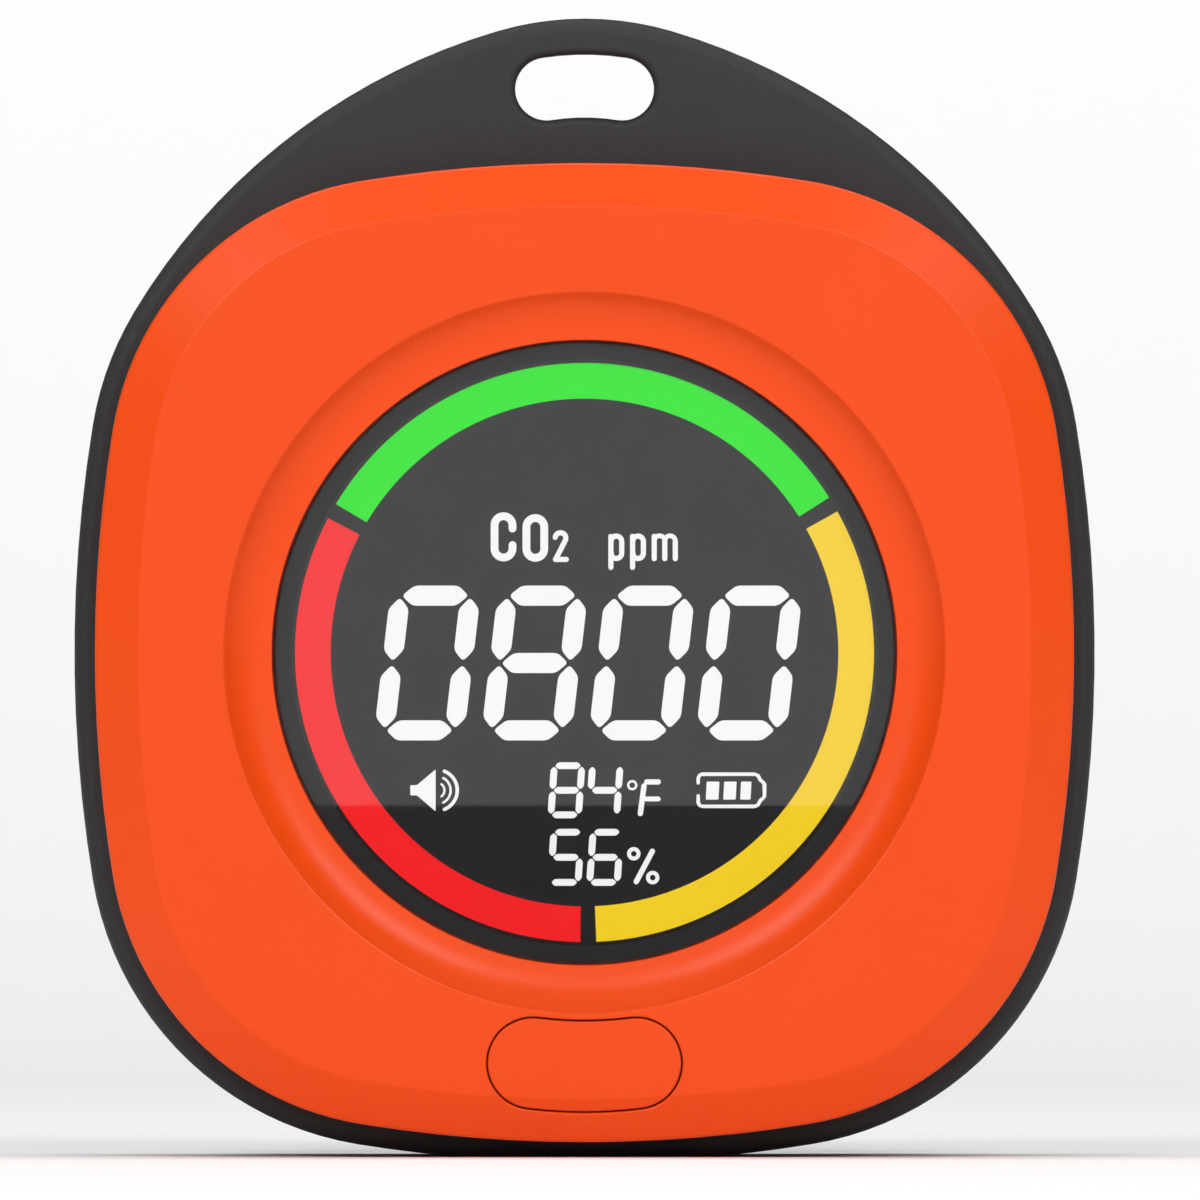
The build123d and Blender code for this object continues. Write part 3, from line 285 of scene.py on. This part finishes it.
# natural nylon connectors: creamy and waxy
creamNylon = mouldedPlastic("naturalNylon", {
    "deep": "E2D9C1", "pale": "EFE8D5", "mottleMm": 1.5, "grainMm": 0.12, "bump": 0.2,
    "roughLow": 0.35, "roughHigh": 0.5, "ior": 1.53, "specular": 0.5,
})
# white polycarbonate frame: bright, so that no light is lost round the display
whiteCarbonate = mouldedPlastic("whitePolycarbonate", {
    "deep": "E3E3DE", "pale": "F0F0EC", "mottleMm": 3.0, "grainMm": 0.15, "bump": 0.15,
    "roughLow": 0.35, "roughHigh": 0.48, "ior": 1.58, "specular": 0.5,
})
# opal and reflecting films: paper-white with a faint pearl
whiteFilm = mouldedPlastic("opalPolyesterFilm", {
    "deep": "EDEDEA", "pale": "F7F7F5", "mottleMm": 5.0, "grainMm": 0.08, "bump": 0.1,
    "roughLow": 0.45, "roughHigh": 0.6, "ior": 1.57, "specular": 0.4,
})
# sintered ferrite: charcoal with a gritty face
ferrite = mouldedPlastic("pressedFerrite", {
    "deep": "2C2C2E", "pale": "3D3D40", "mottleMm": 0.8, "grainMm": 0.1, "bump": 0.5,
    "roughLow": 0.6, "roughHigh": 0.8, "ior": 1.6, "specular": 0.5,
})
# fired ceramic chip parts: tan bodies with a hard, slightly glazed face
ceramic = mouldedPlastic("firedCeramic", {
    "deep": "A78A63", "pale": "C2A57F", "mottleMm": 0.7, "grainMm": 0.08, "bump": 0.2,
    "roughLow": 0.3, "roughHigh": 0.45, "ior": 1.62, "specular": 0.5,
})
# silicone insulation, extruded round the wires: soft, dusty colour
redSilicone = mouldedPlastic("redSilicone", {
    "deep": "A61F1A", "pale": "BE2A22", "mottleMm": 1.0, "grainMm": 0.1, "bump": 0.2,
    "roughLow": 0.5, "roughHigh": 0.65, "ior": 1.41, "specular": 0.4,
})
blackSilicone = mouldedPlastic("blackSilicone", {
    "deep": "141414", "pale": "1E1E1E", "mottleMm": 1.0, "grainMm": 0.1, "bump": 0.2,
    "roughLow": 0.5, "roughHigh": 0.65, "ior": 1.41, "specular": 0.4,
})
# acrylic-foam tape: dull black with an open edge
blackTape = mouldedPlastic("acrylicFoamTape", {
    "deep": "0F0F10", "pale": "17171A", "mottleMm": 1.5, "grainMm": 0.15, "bump": 0.3,
    "roughLow": 0.7, "roughHigh": 0.85, "ior": 1.47, "specular": 0.3,
})
# screen-printed ink on the window's inner face: flat black seen through the acrylic
blackInk = mouldedPlastic("screenPrintedBlackInk", {
    "deep": "3C3C3E", "pale": "404042", "mottleMm": 2.0, "grainMm": 0.1, "bump": 0.05,
    "roughLow": 0.6, "roughHigh": 0.7, "ior": 1.49, "specular": 0.1,
})
# polariser over an unlit cell: nearly black, glassy
darkPolariser = mouldedPlastic("darkPolariserFilm", {
    "deep": "2A2A2C", "pale": "2E2E30", "mottleMm": 6.0, "grainMm": 0.2, "bump": 0.03,
    "roughLow": 0.3, "roughHigh": 0.38, "ior": 1.49, "specular": 0.2,
})
# blank polyester label, semi-matt silver-grey
labelFilm = mouldedPlastic("silverPolyesterLabel", {
    "deep": "BDBEC0", "pale": "C8C9CB", "mottleMm": 4.0, "grainMm": 0.1, "bump": 0.12,
    "roughLow": 0.38, "roughHigh": 0.5, "ior": 1.57, "specular": 0.6,
})
# stamped stainless: cool and bright, faint rolling lines
stainless = stampedMetal("stampedStainless", {
    "deep": "A9ABAE", "pale": "BFC1C3", "lineMm": 0.08, "cloudMm": 2.5,
    "stretch": (0.15, 1, 1), "bump": 0.15, "roughLow": 0.22, "roughHigh": 0.36,
})
# zinc-plated steel: greyer, a slight bluish bloom
zincSteel = stampedMetal("zincPlatedSteel", {
    "deep": "9B9EA6", "pale": "B4B6BC", "lineMm": 0.1, "cloudMm": 0.9,
    "stretch": (1, 1, 1), "bump": 0.25, "roughLow": 0.28, "roughHigh": 0.42,
})
# tin plate on copper: pale and soft-looking
tinPlate = stampedMetal("tinPlate", {
    "deep": "B7B7B2", "pale": "CFCFCA", "lineMm": 0.06, "cloudMm": 0.8,
    "stretch": (1, 0.2, 1), "bump": 0.15, "roughLow": 0.3, "roughHigh": 0.42,
})
# thin hard gold: warm, smooth
goldPlate = stampedMetal("hardGoldPlate", {
    "deep": "C79A45", "pale": "DDB565", "lineMm": 0.06, "cloudMm": 0.9,
    "stretch": (0.2, 1, 1), "bump": 0.1, "roughLow": 0.18, "roughHigh": 0.28,
})
# rolled brass, punched to a disc: warm, with faint rolling lines
brassDisc = stampedMetal("rolledBrass", {
    "deep": "B78F3E", "pale": "CDA751", "lineMm": 0.07, "cloudMm": 1.2,
    "stretch": (0.2, 1, 1), "bump": 0.15, "roughLow": 0.25, "roughHigh": 0.4,
})
# aluminium laminate of the battery pouch: crinkled, soft silver
pouchFoil = stampedMetal("embossedAluminiumFoil", {
    "deep": "AEB2B7", "pale": "C4C8CC", "lineMm": 0.5, "cloudMm": 5.0,
    "stretch": (1, 1, 1), "bump": 0.5, "roughLow": 0.32, "roughHigh": 0.5,
})
greenBoard = lacqueredBoard("greenLacqueredBoard", {
    "lacquer": "0E4A2C", "overCopper": "1E6B40", "weaveMm": 0.5, "trackMm": 3.0, "roughLow": 0.28,
    "roughHigh": 0.4,
})
blueBoard = lacqueredBoard("blueLacqueredBoard", {
    "lacquer": "12306B", "overCopper": "244B8F", "weaveMm": 0.5, "trackMm": 2.4, "roughLow": 0.28,
    "roughHigh": 0.4,
})
# cast acrylic with a smoke tint, hard-coated: deep gloss, slightly grey to look through
smokedAcrylic = clearSheet("smokedAcrylic", {
    "deep": "D2D2D4", "pale": "D6D6D8", "ior": 1.49, "clear": 1.0, "waveMm": 14.0, "roughLow": 0.004,
    "roughHigh": 0.012, "bump": 0.02,
})
# float glass of the display cell
cellGlass = clearSheet("displayCellGlass", {
    "deep": "D5E0DC", "pale": "DDE6E2", "ior": 1.52, "clear": 0.9, "waveMm": 10.0, "roughLow": 0.01,
    "roughHigh": 0.02, "bump": 0.02,
})
# clear moulded acrylic light guide with a dot pattern underneath
guideAcrylic = clearSheet("mouldedClearAcrylic", {
    "deep": "E6EEEE", "pale": "F0F5F5", "ior": 1.49, "clear": 0.85, "waveMm": 1.2, "roughLow": 0.05,
    "roughHigh": 0.15, "bump": 0.3,
})
# closed-cell foam: dull charcoal, pitted
foam = softFibre("closedCellFoam", {
    "deep": "141414", "pale": "1F1F1F", "cellMm": 0.25, "sheen": 0.1,
})
# stretched fluoropolymer membrane: chalk-white, fibrous
membrane = softFibre("filterMembrane", {
    "deep": "E6E6E2", "pale": "F4F4F1", "cellMm": 0.12, "sheen": 0.3,
})

# Filter films over white diodes: flat, saturated colour with an even glow. The window passes about two
# thirds of the light, so lit parts are a little stronger than they look from outside.
greenLight = litSegment("litGreenBand", {
    "deep": "1F6B20", "pale": "237224", "glow": "10FF10", "strength": 1.12, "cellMm": 0.6,
})
yellowLight = litSegment("litYellowBand", {
    "deep": "7A6A22", "pale": "807028", "glow": "FFD810", "strength": 1.32, "cellMm": 0.6,
})
redLight = litSegment("litRedBand", {
    "deep": "7A1C1D", "pale": "802021", "glow": "FF0A10", "strength": 1.32, "cellMm": 0.6,
})
whiteLight = litSegment("litWhiteSegment", {
    "deep": "8C8C8A", "pale": "929290", "glow": "FFFFFF", "strength": 1.32, "cellMm": 0.6,
})
# white light-emitting diodes: a yellow phosphor window in a pale case, glowing faintly
lampResin = litSegment("phosphorResin", {
    "deep": "D9CC84", "pale": "E6DB9C", "glow": "FFF6DC", "strength": 0.4, "cellMm": 0.3,
})

finishOf = {
    orangeAbs: ["front_cover", "key_cap"],
    greyAbs: ["rear_shell"],
    smokedAcrylic: ["display_lens"],
    blackTape: ["lens_adhesive_ring"],
    foam: ["display_gasket", "battery_pad"],
    darkPolariser: ["front_polariser", "rear_polariser"],
    cellGlass: ["front_glass", "rear_glass"],
    whiteFilm: ["diffuser_sheet", "reflector_sheet"],
    guideAcrylic: ["light_guide"],
    whiteCarbonate: ["display_frame"],
    lampResin: ["backlight_lamps"],
    greenLight: ["band_green"],
    yellowLight: ["band_yellow"],
    redLight: ["band_red"],
    greenBoard: ["main_board"],
    blueBoard: ["sensor_board"],
    blackNylon: ["switch_housing", "switch_plunger", "port_tongue", "header_strip", "sounder_case"],
    epoxyBlack: ["controller_chip", "charger_chip", "humidity_sensor"],
    ferrite: ["power_coil"],
    ceramic: ["chip_parts"],
    stainless: [
        "switch_plate", "switch_dome", "port_shell", "sensor_lamp", "sensor_detector", "timing_crystal",
    ],
    zincSteel: ["case_screws", "board_screws"],
    tinPlate: ["display_pins", "switch_legs"],
    goldPlate: ["port_contacts", "header_pins", "sensor_case"],
    brassDisc: ["sounder_disc"],
    pouchFoil: ["battery_cell"],
    creamNylon: ["battery_socket", "battery_plug"],
    redSilicone: ["battery_lead_red"],
    blackSilicone: ["battery_lead_black"],
    membrane: ["sensor_membrane"],
    labelFilm: ["rear_label"],
}
for material, nodeNames in finishOf.items():
    for nodeName in nodeNames:
        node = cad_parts[nodeName]
        node.data.materials.clear()
        node.data.materials.append(material)
leftOut = set(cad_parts) - {name for names in finishOf.values() for name in names}
print("materials:", len(finishOf), "finishes; CAD nodes left without one:", sorted(leftOut))

# Places on the display, read from the CAD boxes.
(lensLow, lensHigh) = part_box("display_lens")
(polariserLow, polariserHigh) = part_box("front_polariser")
displayX = (lensLow[0] + lensHigh[0]) / 2
displayZ = (lensLow[2] + lensHigh[2]) / 2
windowRadius = (lensHigh[0] - lensLow[0]) / 2
cellFace = polariserLow[1]          # the polariser's front, which the lit parts lie on
lensBack = lensHigh[1]
signLift = 0.012 * mm               # lit parts stand this far off the polariser
signThickness = 0.03 * mm
signStep = 0.0004 * mm              # each stroke is this much prouder, so overlaps never share a plane
mitreLimit = 1.8                    # a sharp bend in a stroke isn't drawn out further than this


# A polygon with its corners rounded off.
def roundCorners(points, radius, steps=4):
    out = []
    count = len(points)
    for spot in range(count):
        (ax, ay), (bx, by), (cx, cy) = points[spot - 1], points[spot], points[(spot + 1) % count]
        inLength, outLength = hypot(ax - bx, ay - by), hypot(cx - bx, cy - by)
        cut = min(radius, inLength * 0.45, outLength * 0.45)
        start = (bx + (ax - bx) / inLength * cut, by + (ay - by) / inLength * cut)
        end = (bx + (cx - bx) / outLength * cut, by + (cy - by) / outLength * cut)
        for step in range(steps + 1):
            t = step / steps
            out.append((
                (1 - t) ** 2 * start[0] + 2 * t * (1 - t) * bx + t * t * end[0],
                (1 - t) ** 2 * start[1] + 2 * t * (1 - t) * by + t * t * end[1],
            ))
    return out


def arcPoints(centre, radius, start, end, steps=14):
    angles = [radians(start + (end - start) * step / steps) for step in range(steps + 1)]
    return [(centre[0] + radius * cos(angle), centre[1] + radius * sin(angle)) for angle in angles]


# A line of even width round a path, with round ends; a closed path gives a ring.
def strokeOutlines(path, width, closed=False):
    half, left, right = width / 2, [], []
    count = len(path)
    for spot, (x, y) in enumerate(path):
        before = path[spot - 1] if closed or spot > 0 else path[spot]
        after = path[(spot + 1) % count] if closed or spot < count - 1 else path[spot]
        run = (after[0] - before[0], after[1] - before[1])
        long = hypot(*run)
        side = (-run[1] / long, run[0] / long)
        if 0 < spot < count - 1 or closed:
            first = (x - before[0], y - before[1])
            stretch = hypot(*first) / max(1e-9, (first[0] * run[0] + first[1] * run[1]) / long)
            stretch = min(stretch, mitreLimit)
        else:
            stretch = 1
        left.append((x + side[0] * half * stretch, y + side[1] * half * stretch))
        right.append((x - side[0] * half * stretch, y - side[1] * half * stretch))
    if closed:
        return [("ring", left, right)]
    startAngle = degrees(atan2(left[0][1] - path[0][1], left[0][0] - path[0][0]))
    endAngle = degrees(atan2(right[-1][1] - path[-1][1], right[-1][0] - path[-1][0]))
    startCap = arcPoints(path[0], half, startAngle, startAngle + 180, 8)[1:-1]
    endCap = arcPoints(path[-1], half, endAngle, endAngle + 180, 8)[1:-1]
    return [("strip", left, right, startCap, endCap)]


# Makes an object of the mesh.
def addPiece(name, pieceMesh, material):
    bmesh.ops.recalc_face_normals(pieceMesh, faces=pieceMesh.faces)
    data = bpy.data.meshes.new(name)
    pieceMesh.to_mesh(data)
    pieceMesh.free()
    data.materials.append(material)
    piece = bpy.data.objects.new(name, data)
    bpy.context.scene.collection.objects.link(piece)
    return piece


# Lit shapes standing a hair in front of the display, their outlines in millimetres from its middle.
def buildSign(name, shapes):
    shapeMesh = bmesh.new()

    def corner(point, height):
        return shapeMesh.verts.new((displayX + point[0] * mm, cellFace - height, displayZ + point[1] * mm))

    for spot, shape in enumerate(shapes):
        top = signLift + signThickness + spot * signStep
        faces = []
        if shape[0] == "polygon":
            faces.append(shapeMesh.faces.new([corner(p, top) for p in shape[1]]))
        elif shape[0] == "ring":
            outer = [corner(p, top) for p in shape[1]]
            inner = [corner(p, top) for p in shape[2]]
            for k in range(len(outer)):
                j = (k + 1) % len(outer)
                faces.append(shapeMesh.faces.new([outer[k], outer[j], inner[j], inner[k]]))
        else:
            left = [corner(p, top) for p in shape[1]]
            right = [corner(p, top) for p in shape[2]]
            for k in range(len(left) - 1):
                faces.append(shapeMesh.faces.new([left[k], left[k + 1], right[k + 1], right[k]]))
            faces.append(shapeMesh.faces.new([left[0]] + [corner(p, top) for p in shape[3]] + [right[0]]))
            faces.append(shapeMesh.faces.new([right[-1]] + [corner(p, top) for p in shape[4]] + [left[-1]]))
        grown = bmesh.ops.extrude_face_region(shapeMesh, geom=faces)
        moved = [item for item in grown["geom"] if isinstance(item, bmesh.types.BMVert)]
        bmesh.ops.translate(shapeMesh, verts=moved, vec=(0, signThickness, 0))
    sign = addPiece(name, shapeMesh, whiteLight)
    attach(sign, "housing")


litSegments = {"0": "abcdef", "4": "fgbc", "5": "afgcd", "6": "afgecd", "8": "abcdefg"}


# One seven-segment digit: long hexagons between the corners of a leaning cell.
def sevenSegments(digit, look, step):
    wide, half, thick = look["cellWidth"], look["halfHeight"], look["stroke"]
    corners = {
        "a": ((0, 2 * half), (wide, 2 * half)),
        "b": ((wide, half), (wide, 2 * half)),
        "c": ((wide, 0), (wide, half)),
        "d": ((0, 0), (wide, 0)),
        "e": ((0, 0), (0, half)),
        "f": ((0, half), (0, 2 * half)),
        "g": ((0, half), (wide, half)),
    }
    shapes = []
    for segment in litSegments[digit]:
        (ax, ay), (bx, by) = corners[segment]
        long = hypot(bx - ax, by - ay)
        dx, dy = (bx - ax) / long, (by - ay) / long
        tip, shoulder = look["gap"], look["gap"] + thick * look["point"]
        outline = [
            (tip, 0), (shoulder, thick / 2), (long - shoulder, thick / 2),
            (long - tip, 0), (long - shoulder, -thick / 2), (shoulder, -thick / 2),
        ]
        placed = [(ax + along * dx - off * dy, ay + along * dy + off * dx) for along, off in outline]
        left = look["left"] + step * look["pitch"]
        leaning = [(left + x + look["lean"] * y, look["bottom"] + y) for x, y in placed]
        shapes.append(("polygon", roundCorners(leaning, thick * look["softness"])))
    return shapes


def writeNumber(name, digits, look):
    shapes = []
    for step, digit in enumerate(digits):
        shapes += sevenSegments(digit, look, step)
    buildSign(name, shapes)


# all in millimetres from the middle of the window
gasNumber = {
    "left": -12.93, "bottom": -5.03, "pitch": 6.93, "cellWidth": 4.54, "halfHeight": 4.35,
    "stroke": 1.3, "lean": 0.117, "gap": 0.11, "point": 0.57, "softness": 0.22,
}
warmthNumber = {
    "left": -2.17, "bottom": -10.49, "pitch": 2.47, "cellWidth": 1.78, "halfHeight": 1.59,
    "stroke": 0.44, "lean": 0.067, "gap": 0.05, "point": 0.5, "softness": 0.25,
}
dampNumber = dict(warmthNumber, left=-2.2, bottom=-14.85, halfHeight=1.62, pitch=2.53)
writeNumber("gasDigits", "0800", gasNumber)
writeNumber("temperatureDigits", "84", warmthNumber)
writeNumber("humidityDigits", "56", dampNumber)

# chemical sign for carbon dioxide, in narrow round-ended letters
gasSign = {"stroke": 0.5, "smallStroke": 0.33}
letterC = [(-4.655, 8.0)] + arcPoints((-5.235, 8.225), 0.58, 0, 180)
letterC += arcPoints((-5.235, 6.715), 0.58, 180, 360) + [(-4.655, 6.94)]
letterO = arcPoints((-3.18, 8.11), 0.575, 0, 180) + arcPoints((-3.18, 6.69), 0.575, 180, 360)
smallTwo = arcPoints((-1.555, 7.39), 0.345, 172, -28) + [(-1.86, 6.03)]
smallTwoFoot = [(-1.88, 6.01), (-1.18, 6.01)]
buildSign(
    "carbonDioxideSign",
    strokeOutlines(letterC, gasSign["stroke"]) + strokeOutlines(letterO, gasSign["stroke"], closed=True)
    + strokeOutlines(smallTwo, gasSign["smallStroke"]) + strokeOutlines(smallTwoFoot, gasSign["smallStroke"]),
)

# parts per million
unitSign = {
    "stroke": 0.33, "archStroke": 0.297, "foot": 6.06, "top": 7.5, "descender": 5.5,
    "leftP": 1.70, "pitchP": 1.4, "bowl": 0.35, "leftM": 4.5, "pitchM": 0.68, "arch": 0.34, "archHeight": 7.2,
}
unitStrokes = []
for step in range(2):
    x = unitSign["leftP"] + step * unitSign["pitchP"]
    unitStrokes += strokeOutlines([(x, unitSign["top"]), (x, unitSign["descender"])], unitSign["stroke"])
    bowl = [(x, 7.1)] + arcPoints((x + unitSign["bowl"], 7.17), unitSign["bowl"], 150, 0, 10)
    bowl += arcPoints((x + unitSign["bowl"], 6.42), unitSign["bowl"], 0, -150, 10) + [(x, 6.5)]
    unitStrokes += strokeOutlines(bowl, unitSign["stroke"])
for step in range(3):
    x = unitSign["leftM"] + step * unitSign["pitchM"]
    legTop = unitSign["top"] if step == 0 else unitSign["archHeight"]
    unitStrokes += strokeOutlines([(x, legTop), (x, unitSign["foot"])], unitSign["stroke"])
    if step < 2:
        arch = arcPoints((x + unitSign["arch"], unitSign["archHeight"]), unitSign["arch"], 165, 0, 10)
        unitStrokes += strokeOutlines(arch, unitSign["archStroke"])
buildSign("partsPerMillionSign", unitStrokes)

# degrees Fahrenheit and per cent
degreeSign = {"stroke": 0.34, "barStroke": 0.306, "ringStroke": 0.15, "ringRadius": 0.26}
perCentSign = {"stroke": 0.34, "ringStroke": 0.25, "ringRadius": 0.31}


def ringOutline(centre, sign):
    circle = arcPoints(centre, sign["ringRadius"], 0, 360, 16)[:-1]
    return strokeOutlines(circle, sign["ringStroke"], closed=True)


buildSign(
    "degreeSign",
    ringOutline((3.08, -8.57), degreeSign)
    + strokeOutlines([(3.84, -8.62), (3.6, -10.4)], degreeSign["stroke"])
    + strokeOutlines([(4.02, -8.36), (4.76, -8.36)], degreeSign["stroke"])
    + strokeOutlines([(3.98, -9.46), (4.76, -9.46)], degreeSign["barStroke"]),
)
buildSign(
    "perCentSign",
    ringOutline((3.18, -13.0), perCentSign) + ringOutline((4.4, -14.54), perCentSign)
    + strokeOutlines([(4.38, -12.84), (3.34, -14.8)], perCentSign["stroke"]),
)

# sounder sign: a cone and three waves, each with its radius, half angle and width
speaker = {
    "corner": 0.08, "waveCentre": (-9.55, -8.9),
    "waves": [(0.5, 52, 0.14), (0.9, 62, 0.15), (1.33, 68, 0.22)],
}
speakerCone = [
    (-11.26, -8.57), (-10.83, -8.57), (-9.62, -7.55), (-9.62, -10.26), (-10.83, -9.23), (-11.26, -9.23),
]
speakerShapes = [("polygon", roundCorners(speakerCone, speaker["corner"]))]
for radius, spread, wide in speaker["waves"]:
    speakerShapes += strokeOutlines(arcPoints(speaker["waveCentre"], radius, spread, -spread), wide)
buildSign("sounderSign", speakerShapes)

# battery sign: an outline with a terminal, and three leaning bars, each from its left to its right
battery = {
    "stroke": 0.22, "corner": 0.06, "bars": [(7.85, 8.67), (8.98, 9.78), (10.07, 10.74)],
    "barTop": -8.34, "barFoot": -9.5, "topLean": 0.04, "footLean": -0.02,
}
batteryOutline = [
    (7.34, -8.42), (7.34, -8.1), (7.44, -7.93), (7.6, -7.86), (11.0, -7.86), (11.2, -7.95),
    (11.36, -8.25), (11.5, -8.36), (11.62, -8.5), (11.62, -9.3), (11.5, -9.44), (11.36, -9.55),
    (11.2, -9.85), (11.0, -9.94), (7.6, -9.94), (7.44, -9.87), (7.34, -9.7), (7.34, -9.26),
]
batteryShapes = strokeOutlines(batteryOutline, battery["stroke"])
for left, right in battery["bars"]:
    bar = [(x + battery["topLean"], battery["barTop"]) for x in (left, right)]
    bar += [(x + battery["footLean"], battery["barFoot"]) for x in (right, left)]
    batteryShapes.append(("polygon", roundCorners(bar, battery["corner"])))
buildSign("batterySign", batteryShapes)
print("display: digits and signs built")

# black border printed on the inner face of the window, hiding its seat
border = {"innerRadius": 18.95, "edgeInset": 0.03, "backInset": 0.012, "thickness": 0.006, "steps": 160}
borderInner = border["innerRadius"] * mm
borderOuter = windowRadius - border["edgeInset"] * mm
borderBack = lensBack - border["backInset"] * mm
borderFront = borderBack - border["thickness"] * mm
borderMesh = bmesh.new()
rims = [
    [
        borderMesh.verts.new((displayX + x, y, displayZ + z))
        for x, z in arcPoints((0, 0), radius, 0, 360, border["steps"])[:-1]
    ]
    for radius, y in (
        (borderOuter, borderBack), (borderInner, borderBack),
        (borderInner, borderFront), (borderOuter, borderFront),
    )
]
for turn, rim in enumerate(rims):
    nextRim = rims[(turn + 1) % len(rims)]
    for k in range(border["steps"]):
        j = (k + 1) % border["steps"]
        borderMesh.faces.new([rim[k], rim[j], nextRim[j], nextRim[k]])
windowBorder = addPiece("windowBorder", borderMesh, blackInk)
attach(windowBorder, "housing")
print("window: printed border built")

# Painted board swept up behind the object, so there is no horizon. It is low, so that views from behind
# pass over it.
studio = {
    "halfWidth": 2.4, "front": -1.1, "middle": -0.3, "bend": 0.5,
    "bendRadius": 0.35, "bendTurn": 48, "bendStep": 6,
}
sweepMesh = bmesh.new()
profile = [(studio["front"], 0.0), (studio["middle"], 0.0), (studio["bend"], 0.0)]
for turn in range(studio["bendStep"], studio["bendTurn"] + 1, studio["bendStep"]):
    along = studio["bendRadius"] * sin(radians(turn))
    profile.append((studio["bend"] + along, studio["bendRadius"] * (1 - cos(radians(turn)))))
rows = [[sweepMesh.verts.new((side * studio["halfWidth"], y, z)) for side in (-1, 1)] for y, z in profile]
for first, second in zip(rows, rows[1:]):
    sweepMesh.faces.new([first[0], first[1], second[1], second[0]])
sweepData = bpy.data.meshes.new("studioFloor")
sweepMesh.to_mesh(sweepData)
sweepMesh.free()
for face in sweepData.polygons:
    face.use_smooth = True
# emulsion put on with a roller: matt white with the faint stipple of the roller's pile
floorPaint = mouldedPlastic("rolledWhitePaint", {
    "deep": "F6F6F6", "pale": "F8F8F8", "mottleMm": 180.0, "grainMm": 1.2, "bump": 0.05,
    "roughLow": 0.8, "roughHigh": 0.9, "ior": 1.45, "specular": 0.1,
})
sweepData.materials.append(floorPaint)
studioFloor = bpy.data.objects.new("studioFloor", sweepData)
bpy.context.scene.collection.objects.link(studioFloor)

world = bpy.data.worlds.new("studioWorld")
bpy.context.scene.world = world
world.use_nodes = True
worldLight = {"colour": "FFFFFF", "strength": 0.15}
background = world.node_tree.nodes["Background"]
background.inputs["Color"].default_value = toLinear(worldLight["colour"])
background.inputs["Strength"].default_value = worldLight["strength"]


# A rectangular light that the camera doesn't see. Its power is its radiance times pi times its area.
def softBox(name, look):
    place, aim, (across, up) = look["place"], look["aim"], look["size"]
    data = bpy.data.lights.new(name, "AREA")
    data.shape, data.size, data.size_y = "RECTANGLE", across, up
    data.energy = look["radiance"] * pi * across * up
    lamp = bpy.data.objects.new(name, data)
    bpy.context.scene.collection.objects.link(lamp)
    lamp.location = place
    direction = [aim[k] - place[k] for k in range(3)]
    flat = hypot(direction[0], direction[1])
    lamp.rotation_euler = (atan2(flat, -direction[2]), 0, atan2(-direction[0], direction[1]))
    lamp.visible_camera = False


# The card in front ends just above the middle of the reflected window, which gives the window its two
# tones. The banks close round the camera light the front without showing in the window or in the bevels.
# The last one lights the board behind the object up to paper white.
lights = {
    "frontCard": {"place": (0, -0.6, 0.3203), "aim": (0, 0, 0.3203), "size": (1.2, 0.6), "radiance": 0.78},
    "leftBank": {"place": (-0.6, -1.25, 0.85), "aim": (0, 0, 0.035), "size": (0.7, 0.6), "radiance": 5.8},
    "rightBank": {"place": (0.6, -1.25, 0.85), "aim": (0, 0, 0.035), "size": (0.7, 0.6), "radiance": 5.8},
    "topBank": {"place": (0, -0.5, 1.4), "aim": (0, 0, 0.035), "size": (1.2, 0.5), "radiance": 0.5},
    "backBank": {"place": (0, 0.2, 1.5), "aim": (0, 0.8, 0.1), "size": (2.0, 0.6), "radiance": 4.1},
}
for name, look in lights.items():
    softBox(name, look)
print("studio: floor, world and lights placed")

view = {"width": 77.42, "centreX": 1.0, "centreZ": 35.99, "lens": 1500.0, "sensor": 36.0}
cameraData = bpy.data.cameras.new("camera")
cameraData.lens, cameraData.sensor_width = view["lens"], view["sensor"]
distance = view["width"] * mm * view["lens"] / view["sensor"]
camera = bpy.data.objects.new("camera", cameraData)
bpy.context.scene.collection.objects.link(camera)
camera.location = (view["centreX"] * mm, cadBox[0][1] - distance, view["centreZ"] * mm)
camera.rotation_euler = (radians(90), 0, 0)
cameraData.clip_end = 20
bpy.context.scene.camera = camera
bpy.context.scene.view_settings.view_transform = "Standard"

print("camera placed")
